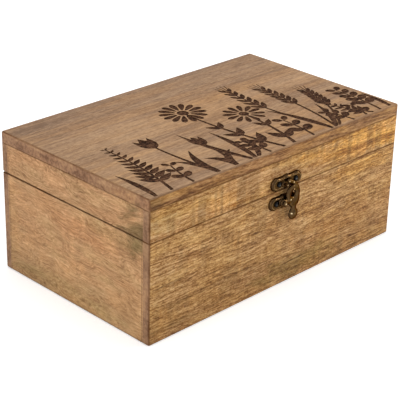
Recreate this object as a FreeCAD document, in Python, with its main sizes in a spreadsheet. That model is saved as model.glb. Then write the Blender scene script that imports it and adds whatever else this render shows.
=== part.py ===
import FreeCAD, Part
import os
import re
from FreeCAD import Placement, Rotation, Vector

# Wooden keepsake box. The origin is the centre of the underside, X runs along the front
# from left to right, Y from the front to the back and Z up.

doc = FreeCAD.newDocument("KeepsakeBox")

# Driving dimensions in millimetres, angles in degrees
sizes = [
    ("case_length", "250", "outside length of the case"),
    ("case_depth", "151", "outside depth of the case, front face to back face"),
    ("base_height", "75", "underside to the seat of the lid"),
    ("lid_height", "31", "seat of the lid to the top face"),
    ("wall", "6", "thickness of the wall boards and lid rails"),
    ("top_thickness", "8.5", "thickness of the top board"),
    ("bottom_thickness", "4", "thickness of the floor"),
    ("bottom_rebate", "3", "how far the floor is let into each wall"),
    ("end_gap_front", "0.3", "gap under the lid's end rails at the front face"),
    ("back_gap", "1.2", "gap under the lid's back rail, filled by the hinge leaves"),
    ("edge_round", "1.4", "rounding of the outside arrises"),
    ("parting_ease", "0.3", "easing of the edges along the parting line"),
    ("brad_radius", "0.5", "shank of the floor brads"),
    ("brad_head_radius", "1", "head of the floor brads"),
    ("brad_head_height", "0.5", "thickness of the brad heads"),
    ("brad_length", "12", "whole length of the floor brads"),
    ("brad_inset", "1.5", "brads in from the floor's edge"),
    ("brad_end_inset", "25", "outer brads of the front and back rows in from the case's ends"),
    ("brad_side_inset", "35.5", "brads of the end rows in from the front and back faces"),
    ("pilot_clearance", "0.05", "room around brads, nails and screws in their holes"),
    ("hinge_length", "26", "length of each hinge"),
    ("hinge_inset", "45", "middle of each hinge in from the end of the case"),
    ("leaf_thickness", "0.55", "thickness of a hinge leaf"),
    ("leaf_width", "5.4", "leaf from its inner edge to the back face"),
    ("knuckle_radius", "1.5", "outside of the hinge knuckles"),
    ("knuckle_standoff", "0.15", "room between the knuckles and the back face"),
    ("knuckle_gap", "0.15", "end play between neighbouring knuckles"),
    ("hinge_pin_radius", "0.75", "hinge pin"),
    ("hinge_pin_clearance", "0.05", "room around the hinge pin"),
    ("screw_pitch", "15", "spacing of the two screws in a leaf"),
    ("screw_radius", "0.8", "shank of the hinge screws"),
    ("screw_head_radius", "1.4", "countersunk head of the hinge screws"),
    ("screw_length", "9", "whole length of the hinge screws"),
    ("screw_tip", "1.6", "length of the screw's point"),
    ("screw_slot_width", "0.4", "driver slot, across"),
    ("screw_slot_depth", "0.25", "driver slot, deep"),
    ("plate_height", "10", "height of both latch plates at the middle lobe"),
    ("plate_lobe_step", "0.3", "how much lower the end lobes stand than the middle lobe"),
    ("plate_waist", "9.2", "height of the bar between the lobes"),
    ("plate_thickness", "1", "flange of the latch plates"),
    ("plate_crown", "1.4", "raised panel on the latch plates"),
    ("plate_border", "1.8", "flange left showing round the raised panel"),
    ("base_plate_length", "26", "length of the lower latch plate"),
    ("base_plate_x", "-1.2", "middle of the lower plate from the middle of the box"),
    ("base_plate_drop", "8.4", "middle of the lower plate under the parting line"),
    ("base_nail_pitch", "14.6", "spacing of the lower plate's nails"),
    ("lid_plate_length", "30", "length of the upper latch plate"),
    ("lid_plate_x", "2", "middle of the upper plate from the middle of the box"),
    ("lid_plate_rise", "5.9", "middle of the upper plate over the parting line"),
    ("lid_nail_pitch", "17", "spacing of the upper plate's nails"),
    ("nail_radius", "0.6", "shank of the latch nails"),
    ("nail_head_radius", "2", "domed head of the latch nails"),
    ("nail_head_height", "0.8", "height of the nail's dome"),
    ("nail_bite", "4.5", "how deep the latch nails go into the wood"),
    ("pivot_x", "-3.1", "hook pivot from the middle of the box"),
    ("pivot_boss_radius", "2.7", "boss under the hook's eye"),
    ("pivot_boss_height", "0.9", "boss over the plate's raised panel"),
    ("rivet_radius", "1.2", "shank of the pivot rivet"),
    ("rivet_clearance", "0.05", "room around the rivet in the hook's eye"),
    ("rivet_head_radius", "2.2", "domed head of the pivot rivet"),
    ("rivet_head_height", "0.9", "height of the rivet's dome"),
    ("hook_float", "0.1", "end play of the hook between boss and rivet head"),
    ("hook_thickness", "2.1", "thickness of the hook"),
    ("hook_eye_radius", "2.8", "outside of the hook's eye"),
    ("hook_arm_height", "4.4", "arm between the eye and the hook's round"),
    ("hook_round_x", "9.3", "centre of the hook's round, right of the pivot"),
    ("hook_round_z", "4.6", "centre of the hook's round, over the pivot"),
    ("hook_round_radius", "6.8", "outside of the hook's round"),
    ("heel_radius", "5.4", "lower end of the hook's straight right side"),
    ("heel_drop", "0.6", "middle of the heel under the pivot"),
    ("hook_hole_radius", "2.2", "hole through the hook's round"),
    ("nose_orbit", "16.2", "middle line of the nose, from the pivot"),
    ("nose_radius", "1.4", "half the breadth of the nose"),
    ("nose_angle", "16.5", "where the nose ends, from upright to the right"),
    ("nose_sweep", "42.2", "how far the nose reaches from its end into the hook's round"),
    ("latch_turn", "11", "turn of the hook from its rest to its closed place"),
    ("tail_x", "10.6", "middle of the thumb tail, right of the pivot"),
    ("tail_drop", "11", "middle of the tail's end under the pivot"),
    ("tail_neck", "4.8", "breadth of the tail's neck"),
    ("tail_radius", "4.4", "outside of the tail's end"),
    ("tail_dome", "0.9", "dome on the tail's end"),
    ("tail_border", "0.7", "flat left showing round the dome"),
    ("catch_radius", "1.1", "stud that the nose closes over"),
    ("catch_reach", "5.2", "height of the stud in front of the wood, without its dome"),
    ("catch_dome", "0.6", "dome on the stud"),
    ("catch_boss_radius", "2", "boss round the foot of the stud"),
    ("catch_boss_height", "0.5", "boss over the plate's raised panel"),
    ("catch_gap", "0.4", "room beside the stud when the hook is at rest"),
    ("catch_play", "0.2", "room under the nose when the hook is closed"),
]

sheet = doc.addObject("Spreadsheet::Sheet", "Size")
for row, (alias, value, note) in enumerate(sizes, start=1):
    sheet.set(f"A{row}", note)
    sheet.set(f"B{row}", value)
    sheet.setAlias(f"B{row}", alias)
doc.recompute()

aliases = {alias for alias, value, note in sizes}

# Places that several pieces share, each worked out from the driving dimensions
half_length = "case_length / 2"
front = "-case_depth / 2"
back = "case_depth / 2"
rail_top = "(base_height + lid_height - top_thickness)"
back_rail_foot = "(base_height + back_gap)"
floor_length = "(case_length - 2 * wall + 2 * bottom_rebate)"
floor_depth = "(case_depth - 2 * wall + 2 * bottom_rebate)"
hinge_y = "(case_depth / 2 + knuckle_standoff + knuckle_radius)"
hinge_z = "(base_height + back_gap / 2)"
screw_y = "(case_depth / 2 - leaf_width / 2)"
plate_face = "(plate_thickness + plate_crown)"
base_plate_z = "(base_height - base_plate_drop)"
lid_plate_z = "(base_height + lid_plate_rise)"
hook_back = "(plate_thickness + plate_crown + pivot_boss_height + hook_float)"
nose_x = "(nose_orbit * sin(nose_angle * 1 deg))"
nose_z = "(nose_orbit * cos(nose_angle * 1 deg))"
catch_orbit = "(nose_orbit - nose_radius - catch_play - catch_radius)"
catch_side = f"({nose_x} - nose_radius - catch_gap - catch_radius)"
throat_inside = f"({catch_orbit} - catch_radius - catch_gap)"
throat_sweep = (f"asin({catch_side} / {catch_orbit}) + latch_turn * 1 deg"
                f" + asin((catch_radius + catch_gap) / {catch_orbit})")
catch_x = f"(pivot_x + {catch_side})"
catch_z = f"({base_plate_z} + sqrt({catch_orbit} ^ 2 - {catch_side} ^ 2))"

upright = Rotation()
upside_down = Rotation(Vector(1, 0, 0), 180)
to_front = Rotation(Vector(1, 0, 0), 90)
to_back = Rotation(Vector(1, 0, 0), -90)
to_right = Rotation(Vector(0, 1, 0), 90)
from_upright = Rotation(Vector(1, 1, 1), -120)


def bind(item, prop, text):
    """Ties a property to a formula written with the sheet's aliases."""
    words = re.compile(r"[a-z][a-z0-9_]*")
    item.setExpression(prop, words.sub(lambda m: "Size." + m[0] if m[0] in aliases else m[0], text))


def place(item, spot, turn=upright):
    item.Placement = Placement(Vector(), turn)
    for axis, text in zip("xyz", spot):
        bind(item, f"Placement.Base.{axis}", text)


def shape_item(kind, name, spot, turn=upright, **measures):
    """A primitive with its measures and its place tied to the sheet."""
    item = doc.addObject(kind, name)
    place(item, spot, turn)
    for prop, text in measures.items():
        bind(item, prop, text)
    return item


def joined(kind, name, items):
    """A fusion or a compound of several items."""
    item = doc.addObject(kind, name)
    if kind == "Part::MultiFuse":
        item.Shapes = items
        item.Refine = False
    else:
        item.Links = items
    return item


def cut(name, base, tools):
    item = doc.addObject("Part::Cut", name)
    item.Base = base
    item.Refine = False
    item.Tool = tools[0] if len(tools) == 1 else joined("Part::MultiFuse", name + "_tools", tools)
    return item


def ahead(height):
    """The Y of a point that stands in front of the front face."""
    return f"{front} - {height}"


# Boards, as bodies cut from rectangular blanks


def board(label):
    body = doc.addObject("PartDesign::Body", label)
    body.Label = label
    return body


def block(body, name, low, high):
    """A rectangular blank, or a cut where the body already has one, between two corners."""
    kind = "PartDesign::SubtractiveBox" if body.Tip else "PartDesign::AdditiveBox"
    item = body.newObject(kind, name)
    place(item, low)
    for prop, start, end in zip(("Length", "Width", "Height"), low, high):
        bind(item, prop, f"({end}) - ({start})")


def drill(body, name, mouth, turn, radius, depth):
    """A blind or through hole from its mouth, along the turned Z axis."""
    item = body.newObject("PartDesign::SubtractiveCylinder", name)
    place(item, mouth, turn)
    bind(item, "Radius", radius)
    bind(item, "Height", depth)


def side_values(shape):
    box = shape.BoundBox
    return {
        "left": (0, box.XMin),
        "right": (0, box.XMax),
        "front": (1, box.YMin),
        "back": (1, box.YMax),
        "under": (2, box.ZMin),
        "over": (2, box.ZMax),
    }


def lies_on(edge, axis, value):
    box = edge.BoundBox
    low = (box.XMin, box.YMin, box.ZMin)[axis]
    high = (box.XMax, box.YMax, box.ZMax)[axis]
    return abs(low - value) < 1e-4 and abs(high - value) < 1e-4


def arrises(body, sides):
    """Names of the edges where two of the named outside faces meet."""
    shape = body.Tip.Shape
    values = side_values(shape)
    planes = [values[side] for side in sides]
    edges = enumerate(shape.Edges, start=1)
    return [f"Edge{number}" for number, edge in edges if sum(lies_on(edge, *plane) for plane in planes) == 2]


def rim(body, level, sides):
    """Names of the edges round one face, as far as they follow the named outside faces."""
    shape = body.Tip.Shape
    values = side_values(shape)
    names = []
    for number, edge in enumerate(shape.Edges, start=1):
        middle = edge.valueAt((edge.FirstParameter + edge.LastParameter) / 2)
        gaps = [abs(middle[values[side][0]] - values[side][1]) for side in sides]
        if lies_on(edge, *values[level]) and not edge.isClosed() and min(gaps) < sheet.get("edge_round"):
            names.append(f"Edge{number}")
    return names


def round_edges(body, name, edges, radius):
    base = body.Tip
    item = body.newObject("PartDesign::Fillet", name)
    item.Base = (base, edges)
    bind(item, "Radius", radius)
    doc.recompute()


# Places of the brads in the floor: along the front and back, and along the two ends
brad_row_y = f"({floor_depth} / 2 - brad_inset)"
brad_row_x = f"({floor_length} / 2 - brad_inset)"
brad_reach_x = "(case_length / 2 - brad_end_inset)"
brad_reach_y = "(case_depth / 2 - brad_side_inset)"
brad_rows = {
    "front": [(f"{step} * {brad_reach_x}", f"-{brad_row_y}") for step in (-1, 0, 1)],
    "back": [(f"{step} * {brad_reach_x}", brad_row_y) for step in (-1, 0, 1)],
    "left": [(f"-{brad_row_x}", f"{step} * {brad_reach_y}") for step in (-1, 1)],
    "right": [(brad_row_x, f"{step} * {brad_reach_y}") for step in (-1, 1)],
}

# Places of the hinge screws, two in each leaf
hinge_centres = {"left": "hinge_inset - case_length / 2", "right": "case_length / 2 - hinge_inset"}
screw_steps = ("- screw_pitch / 2", "+ screw_pitch / 2")
screw_places = [f"{centre} {step}" for centre in hinge_centres.values() for step in screw_steps]

# Places of the latch nails
base_nails = [f"base_plate_x {sign} base_nail_pitch / 2" for sign in "-+"]
lid_nails = [f"lid_plate_x {sign} lid_nail_pitch / 2" for sign in "-+"]


def brad_holes(body, row):
    for x, y in brad_rows[row]:
        drill(body, "BradHole", (x, y, "bottom_thickness"), upright,
              "brad_radius + pilot_clearance", "brad_length - bottom_thickness + pilot_clearance")


def nail_holes(body, places, level):
    for x in places:
        drill(body, "NailHole", (x, front, level), to_back,
              "nail_radius + pilot_clearance", "nail_bite + pilot_clearance")


def screw_holes(body, level, turn):
    for x in screw_places:
        drill(body, "ScrewHole", (x, screw_y, level), turn,
              "screw_radius + pilot_clearance", "screw_length - leaf_thickness + pilot_clearance")


def base_long_panel(label, side):
    """Front or back wall of the base, full length, rebated for the floor."""
    body = board(label)
    faces = {"front": (front, f"{front} + wall"), "back": (f"{back} - wall", back)}
    low, high = faces[side]
    rebate = {"front": (f"-{floor_depth} / 2", high), "back": (low, f"{floor_depth} / 2")}
    rebate_low, rebate_high = rebate[side]
    block(body, "Blank", (f"-{half_length}", low, "0"), (half_length, high, "base_height"))
    block(body, "FloorRebate", (f"-{floor_length} / 2", rebate_low, "0"),
          (f"{floor_length} / 2", rebate_high, "bottom_thickness"))
    brad_holes(body, side)
    if side == "front":
        nail_holes(body, base_nails, base_plate_z)
    else:
        screw_holes(body, "base_height", upside_down)
    doc.recompute()
    round_edges(body, "OutsideRound", arrises(body, (side, "left", "right", "under")), "edge_round")
    round_edges(body, "PartingEase", rim(body, "over", (side, "left", "right")), "parting_ease")
    return body


def base_end_panel(label, side):
    """Left or right wall of the base, between the long walls."""
    body = board(label)
    faces = {
        "left": (f"-{half_length}", f"-{half_length} + wall"),
        "right": (f"{half_length} - wall", half_length),
    }
    low, high = faces[side]
    rebate = {"left": (f"-{floor_length} / 2", high), "right": (low, f"{floor_length} / 2")}
    rebate_low, rebate_high = rebate[side]
    block(body, "Blank", (low, f"{front} + wall", "0"), (high, f"{back} - wall", "base_height"))
    block(body, "FloorRebate", (rebate_low, f"{front} + wall", "0"),
          (rebate_high, f"{back} - wall", "bottom_thickness"))
    brad_holes(body, side)
    doc.recompute()
    round_edges(body, "OutsideRound", arrises(body, (side, "under")), "edge_round")
    round_edges(body, "PartingEase", arrises(body, (side, "over")), "parting_ease")
    return body


def bottom_board():
    body = board("bottom_board")
    block(body, "Blank", (f"-{floor_length} / 2", f"-{floor_depth} / 2", "0"),
          (f"{floor_length} / 2", f"{floor_depth} / 2", "bottom_thickness"))
    for row in brad_rows.values():
        for x, y in row:
            drill(body, "BradHole", (x, y, "0"), upright, "brad_radius + pilot_clearance", "bottom_thickness")
            drill(body, "BradHead", (x, y, "0"), upright, "brad_head_radius + pilot_clearance",
                  "brad_head_height")
    return body


def lid_top_board():
    body = board("lid_top_board")
    block(body, "Blank", (f"-{half_length}", front, rail_top),
          (half_length, back, "base_height + lid_height"))
    doc.recompute()
    round_edges(body, "OutsideRound", arrises(body, ("left", "right", "front", "back", "over")), "edge_round")
    return body


def lid_long_rail(label, side):
    """Front or back rail of the lid, full length. The front one rests on the base."""
    body = board(label)
    faces = {"front": (front, f"{front} + wall"), "back": (f"{back} - wall", back)}
    foot = {"front": "base_height", "back": back_rail_foot}[side]
    low, high = faces[side]
    block(body, "Blank", (f"-{half_length}", low, foot), (half_length, high, rail_top))
    if side == "front":
        nail_holes(body, lid_nails, lid_plate_z)
    else:
        screw_holes(body, foot, upright)
    doc.recompute()
    round_edges(body, "OutsideRound", arrises(body, (side, "left", "right")), "edge_round")
    round_edges(body, "PartingEase", rim(body, "under", (side, "left", "right")), "parting_ease")
    return body


def lid_end_rail(label, side):
    """Left or right rail of the lid. The gap under it widens towards the hinges."""
    body = board(label)
    rail = body.newObject("PartDesign::AdditiveWedge", "Blank")
    faces = {
        "left": (f"-{half_length}", f"-{half_length} + wall"),
        "right": (f"{half_length} - wall", half_length),
    }
    low, high = faces[side]
    slope = "(back_gap - end_gap_front) / case_depth"
    measures = {
        "Xmin": low,
        "X2min": low,
        "Xmax": high,
        "X2max": high,
        "Ymin": f"{front} + wall",
        "Ymax": f"{back} - wall",
        "Zmin": f"base_height + end_gap_front + wall * {slope}",
        "Z2min": f"base_height + end_gap_front + (case_depth - wall) * {slope}",
        "Zmax": rail_top,
        "Z2max": rail_top,
    }
    for prop, text in measures.items():
        bind(rail, prop, text)
    doc.recompute()
    axis, value = side_values(rail.Shape)[side]
    on_side = [(edge.CenterOfMass.z, f"Edge{number}") for number, edge in enumerate(rail.Shape.Edges, start=1)
               if lies_on(edge, axis, value)]
    round_edges(body, "PartingEase", [min(on_side)[1]], "parting_ease")
    return body


# Fasteners


def dome(name, foot, turn, radius, height):
    """A spherical cap that stands on its foot along the turned Z axis."""
    ball = f"(({radius}) ^ 2 + ({height}) ^ 2) / (2 * ({height}))"
    lean = turn.multVec(Vector(0, 0, 1))
    spot = [f"({text}) - {round(part)} * ({ball} - ({height}))" for text, part in zip(foot, lean)]
    return shape_item("Part::Sphere", name, spot, turn, Radius=ball,
                      Angle1=f"asin(({ball} - ({height})) / ({ball}))")


def brad(x, y):
    head = shape_item("Part::Cylinder", "BradHead", (x, y, "0"), upright,
                      Radius="brad_head_radius", Height="brad_head_height")
    shank = shape_item("Part::Cylinder", "BradShank", (x, y, "0"), upright,
                       Radius="brad_radius", Height="brad_length")
    return joined("Part::MultiFuse", "Brad", [head, shank])


def latch_nail(x, level):
    face = ahead(plate_face)
    head = dome("NailHead", (x, face, level), to_front, "nail_head_radius", "nail_head_height")
    shank = shape_item("Part::Cylinder", "NailShank", (x, face, level), to_back,
                       Radius="nail_radius", Height=f"{plate_face} + nail_bite")
    return joined("Part::MultiFuse", "Nail", [head, shank])


def hinge_screw(x, face, turn, sign):
    """A countersunk screw whose head is flush with the leaf's inner face."""
    y = screw_y
    neck = f"{face} {sign} leaf_thickness"
    point = f"{face} {sign} (screw_length - screw_tip)"
    head = shape_item("Part::Cone", "ScrewHead", (x, y, face), turn, Radius1="screw_head_radius",
                      Radius2="screw_radius", Height="leaf_thickness")
    shank = shape_item("Part::Cylinder", "ScrewShank", (x, y, neck), turn, Radius="screw_radius",
                       Height="screw_length - leaf_thickness - screw_tip")
    tip = shape_item("Part::Cone", "ScrewTip", (x, y, point), turn, Radius1="screw_radius",
                     Radius2="0", Height="screw_tip")
    slot_foot = {"-": f"{face} - screw_slot_depth", "+": face}[sign]
    slot = shape_item("Part::Box", "ScrewSlot",
                      (f"{x} - screw_head_radius", f"{y} - screw_slot_width / 2", slot_foot), upright,
                      Length="2 * screw_head_radius", Width="screw_slot_width", Height="screw_slot_depth")
    return cut("Screw", joined("Part::MultiFuse", "ScrewBlank", [head, shank, tip]), [slot])


def group(label, items):
    item = joined("Part::Compound", label, items)
    item.Label = label
    return item


# Hinges: the base leaf carries three knuckles, the lid leaf two

knuckle_count = 5
knuckle_length = f"((hinge_length - {knuckle_count - 1} * knuckle_gap) / {knuckle_count})"


def hinge_leaf(label, centre, first, floor_z, face, turn):
    """One leaf with every second knuckle, bored for the pin and countersunk for two screws."""
    start = f"{centre} - hinge_length / 2"
    inner = f"{back} - leaf_width"
    solids = [shape_item("Part::Box", "Leaf", (start, inner, floor_z), upright, Length="hinge_length",
                         Width="leaf_width", Height="leaf_thickness")]
    for index in range(first, knuckle_count, 2):
        x = f"{start} + {index} * ({knuckle_length} + knuckle_gap)"
        solids.append(shape_item("Part::Box", "Tab", (x, inner, floor_z), upright, Length=knuckle_length,
                                 Width=f"{hinge_y} - ({inner})", Height="leaf_thickness"))
        solids.append(shape_item("Part::Cylinder", "Knuckle", (x, hinge_y, hinge_z), to_right,
                                 Radius="knuckle_radius", Height=knuckle_length))
    bores = [shape_item("Part::Cylinder", "PinBore", (start, hinge_y, hinge_z), to_right,
                        Radius="hinge_pin_radius + hinge_pin_clearance", Height="hinge_length")]
    for step in screw_steps:
        bores.append(shape_item("Part::Cone", "Countersink", (f"{centre} {step}", screw_y, face), turn,
                                Radius1="screw_head_radius + pilot_clearance",
                                Radius2="screw_radius + pilot_clearance", Height="leaf_thickness"))
    item = cut(label, joined("Part::MultiFuse", label + "_blank", solids), bores)
    item.Label = label
    return item


def hinge_pin(label, centre):
    item = shape_item("Part::Cylinder", label, (f"{centre} - hinge_length / 2", hinge_y, hinge_z), to_right,
                      Radius="hinge_pin_radius", Height="hinge_length")
    item.Label = label
    return item


# Latch


def lobed_layer(name, x, level, length, shrink, foot, thickness):
    """A layer of a latch plate: a bar with a lobe at each end and a larger one in the middle."""
    middle = f"(plate_height / 2 - {shrink})"
    lobe = f"(plate_height / 2 - plate_lobe_step - {shrink})"
    offset = f"(({length}) / 2 - plate_height / 2 + plate_lobe_step)"
    waist = f"(plate_waist / 2 - {shrink})"
    y = ahead(foot)
    items = [shape_item("Part::Cylinder", name + "_middle", (x, y, level), to_front,
                        Radius=middle, Height=thickness)]
    for sign in "-+":
        items.append(shape_item("Part::Cylinder", name + "_lobe", (f"{x} {sign} {offset}", y, level),
                                to_front, Radius=lobe, Height=thickness))
    items.append(shape_item("Part::Box", name + "_bar",
                            (f"{x} - {offset}", f"{y} - ({thickness})", f"{level} - {waist}"), upright,
                            Length=f"2 * {offset}", Width=thickness, Height=f"2 * {waist}"))
    return items


def latch_plate(label, x, level, length, nails, bosses, bores):
    items = lobed_layer(label + "_flange", x, level, length, "0", "0", "plate_thickness")
    items += lobed_layer(label + "_panel", x, level, length, "plate_border", "0", plate_face)
    for spot_x, spot_z, radius, height in bosses:
        items.append(shape_item("Part::Cylinder", "Boss", (spot_x, front, spot_z), to_front,
                                Radius=radius, Height=height))
    holes = [(nail, level, "nail_radius") for nail in nails] + bores
    tools = [shape_item("Part::Cylinder", "PlateHole", (spot_x, front, spot_z), to_front,
                        Radius=f"{radius} + pilot_clearance", Height=hook_back)
             for spot_x, spot_z, radius in holes]
    item = cut(label, joined("Part::MultiFuse", label + "_blank", items), tools)
    item.Label = label
    return item


def latch_pivot_rivet():
    top = f"({hook_back} + hook_thickness + hook_float)"
    shank = shape_item("Part::Cylinder", "RivetShank", ("pivot_x", front, base_plate_z), to_front,
                       Radius="rivet_radius", Height=top)
    head = dome("RivetHead", ("pivot_x", ahead(top), base_plate_z), to_front,
                "rivet_head_radius", "rivet_head_height")
    item = joined("Part::MultiFuse", "latch_pivot_rivet", [shank, head])
    item.Label = "latch_pivot_rivet"
    return item


def latch_catch_stud():
    post = shape_item("Part::Cylinder", "CatchPost", (catch_x, front, catch_z), to_front,
                      Radius="catch_radius", Height="catch_reach")
    cap = dome("CatchCap", (catch_x, ahead("catch_reach"), catch_z), to_front, "catch_radius", "catch_dome")
    item = joined("Part::MultiFuse", "latch_catch_stud", [post, cap])
    item.Label = "latch_catch_stud"
    return item


def latch_hook():
    """A flat cast hook: eye, arm, pierced round with a heel, nose over a throat, and thumb tail."""
    hook_face = ahead(f"({hook_back} + hook_thickness)")

    def spot(x, z):
        return (f"pivot_x + {x}", ahead(hook_back), f"{base_plate_z} + {z}")

    def disc(name, x, z, radius):
        return shape_item("Part::Cylinder", name, spot(x, z), to_front,
                          Radius=radius, Height="hook_thickness")

    def bar(name, x, z, length, height):
        return shape_item("Part::Box", name, (f"pivot_x + {x}", hook_face, f"{base_plate_z} + {z}"), upright,
                          Length=length, Width="hook_thickness", Height=height)

    def sector(name, radius, sweep):
        """A slice of a disc round the pivot, from upright to the right."""
        return shape_item("Part::Cylinder", name, ("pivot_x", hook_face, base_plate_z), from_upright,
                          Radius=radius, Height="hook_thickness", Angle=sweep)

    outside = "nose_orbit + nose_radius"
    inside = "nose_orbit - nose_radius"
    nose = cut("HookNose", sector("NoseBlank", outside, "(nose_angle + nose_sweep) * 1 deg"),
               [disc("NoseInside", "0", "0", inside),
                sector("NoseEnd", f"2 * ({outside})", "nose_angle * 1 deg")])
    throat = cut("HookThroat", sector("ThroatBlank", inside, throat_sweep),
                 [disc("ThroatInside", "0", "0", throat_inside)])
    body = joined("Part::MultiFuse", "HookBody", [
        disc("HookEye", "0", "0", "hook_eye_radius"),
        bar("HookArm", "0", "(-hook_arm_height / 2)", "hook_round_x", "hook_arm_height"),
        disc("HookRound", "hook_round_x", "hook_round_z", "hook_round_radius"),
        bar("HookSide", "hook_round_x", "(-heel_drop)", "hook_round_radius", "hook_round_z + heel_drop"),
        disc("HookHeel", "hook_round_x + hook_round_radius - heel_radius", "(-heel_drop)", "heel_radius"),
        bar("TailNeck", "tail_x - tail_neck / 2", "(-tail_drop)", "tail_neck", "tail_drop"),
        disc("TailEnd", "tail_x", "(-tail_drop)", "tail_radius"),
        dome("TailDome", ("pivot_x + tail_x", hook_face, f"{base_plate_z} - tail_drop"), to_front,
             "tail_radius - tail_border", "tail_dome"),
    ])
    pierced = cut("HookPierced", body, [
        disc("HookBore", "0", "0", "rivet_radius + rivet_clearance"),
        disc("HookHole", "hook_round_x", "hook_round_z", "hook_hole_radius"),
        throat,
    ])
    tip = disc("NoseTip", nose_x, nose_z, "nose_radius")
    item = joined("Part::MultiFuse", "latch_hook", [pierced, nose, tip])
    item.Label = "latch_hook"
    return item


# The whole box
nodes = [
    base_long_panel("base_front_panel", "front"),
    base_long_panel("base_back_panel", "back"),
    base_end_panel("base_left_panel", "left"),
    base_end_panel("base_right_panel", "right"),
    bottom_board(),
    group("bottom_brads", [brad(x, y) for row in brad_rows.values() for x, y in row]),
    lid_top_board(),
    lid_long_rail("lid_front_rail", "front"),
    lid_long_rail("lid_back_rail", "back"),
    lid_end_rail("lid_left_rail", "left"),
    lid_end_rail("lid_right_rail", "right"),
]
base_leaf_face = "base_height + leaf_thickness"
lid_leaf_face = f"{back_rail_foot} - leaf_thickness"
for side, centre in hinge_centres.items():
    nodes.append(hinge_leaf(f"{side}_hinge_base_leaf", centre, 0, "base_height", base_leaf_face, upside_down))
    nodes.append(hinge_leaf(f"{side}_hinge_lid_leaf", centre, 1, lid_leaf_face, lid_leaf_face, upright))
    nodes.append(hinge_pin(f"{side}_hinge_pin", centre))
nodes += [
    group("hinge_base_screws", [hinge_screw(x, base_leaf_face, upside_down, "-") for x in screw_places]),
    group("hinge_lid_screws", [hinge_screw(x, lid_leaf_face, upright, "+") for x in screw_places]),
    latch_plate("latch_base_plate", "base_plate_x", base_plate_z, "base_plate_length", base_nails,
                [("pivot_x", base_plate_z, "pivot_boss_radius", f"{plate_face} + pivot_boss_height")],
                [("pivot_x", base_plate_z, "rivet_radius")]),
    latch_plate("latch_lid_plate", "lid_plate_x", lid_plate_z, "lid_plate_length", lid_nails,
                [(catch_x, catch_z, "catch_boss_radius", f"{plate_face} + catch_boss_height")],
                [(catch_x, catch_z, "catch_radius")]),
    group("latch_base_nails", [latch_nail(x, base_plate_z) for x in base_nails]),
    group("latch_lid_nails", [latch_nail(x, lid_plate_z) for x in lid_nails]),
    latch_catch_stud(),
    latch_pivot_rivet(),
    latch_hook(),
]
doc.recompute()

for item in doc.Objects:
    if "Invalid" in item.State or "Error" in item.State:
        raise RuntimeError(f"{item.Label} failed: {item.getStatusString()}")
for node in nodes:
    if node.Shape.isNull() or not node.Shape.isValid():
        raise RuntimeError(f"{node.Label} has no valid shape")

os.makedirs("parts", exist_ok=True)
for node in nodes:
    node.Shape.exportStep(f"parts/{node.Label}.step")
    box = node.Shape.BoundBox
    print(f"{node.Label}: {len(node.Shape.Solids)} solid(s), {node.Shape.Volume:.1f} mm3, "
          f"{box.XLength:.2f} x {box.YLength:.2f} x {box.ZLength:.2f} mm")
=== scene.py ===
import math

import bmesh
import bpy
import numpy as np
from mathutils import Matrix, Vector
from mathutils.geometry import delaunay_2d_cdt


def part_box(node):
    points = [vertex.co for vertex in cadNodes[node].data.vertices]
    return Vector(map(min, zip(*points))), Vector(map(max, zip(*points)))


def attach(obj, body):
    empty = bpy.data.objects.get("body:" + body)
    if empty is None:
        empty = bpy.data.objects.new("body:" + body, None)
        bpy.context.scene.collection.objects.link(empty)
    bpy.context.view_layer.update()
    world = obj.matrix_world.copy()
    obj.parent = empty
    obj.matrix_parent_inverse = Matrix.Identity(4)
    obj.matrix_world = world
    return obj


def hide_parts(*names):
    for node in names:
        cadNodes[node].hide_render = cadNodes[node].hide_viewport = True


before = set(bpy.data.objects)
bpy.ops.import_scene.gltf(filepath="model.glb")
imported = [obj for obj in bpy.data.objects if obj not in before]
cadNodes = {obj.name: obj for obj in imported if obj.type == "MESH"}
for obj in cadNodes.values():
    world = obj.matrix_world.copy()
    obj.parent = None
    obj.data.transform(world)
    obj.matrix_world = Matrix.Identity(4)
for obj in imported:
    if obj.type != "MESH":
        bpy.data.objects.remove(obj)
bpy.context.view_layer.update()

scene = bpy.context.scene
scene.view_settings.view_transform = "Standard"
print("frame loaded,", len(cadNodes), "CAD nodes")


# camera, as the photograph was taken
view = {
    "place": (-0.63954, -0.62736, 0.46167),  # metres, in the frame of the box
    "forward": (0.64374669, 0.63585226, -0.42577235),
    "roll": 1.445,  # degrees
    "width": 16.8718,  # degrees from edge to edge
}


def setCamera():
    forward = Vector(view["forward"]).normalized()
    level = forward.cross(Vector((0, 0, 1))).normalized()
    lift = level.cross(forward)
    roll = math.radians(view["roll"])
    right = level * math.cos(roll) + lift * math.sin(roll)
    up = right.cross(forward)
    camera = bpy.data.objects.new("camera", bpy.data.cameras.new("camera"))
    turn = Matrix((right, up, -forward)).transposed().to_4x4()
    camera.matrix_world = Matrix.Translation(view["place"]) @ turn
    camera.data.sensor_fit = "HORIZONTAL"
    camera.data.angle = math.radians(view["width"])
    scene.collection.objects.link(camera)
    scene.camera = camera


setCamera()
print("camera set")


# finishes

def tone(red, green, blue):  # screen colour 0 to 255 as a scene colour
    parts = [v / 255 for v in (red, green, blue)]
    linear = [v / 12.92 if v <= 0.04045 else ((v + 0.055) / 1.055) ** 2.4 for v in parts]
    return (*linear, 1.0)


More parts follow.
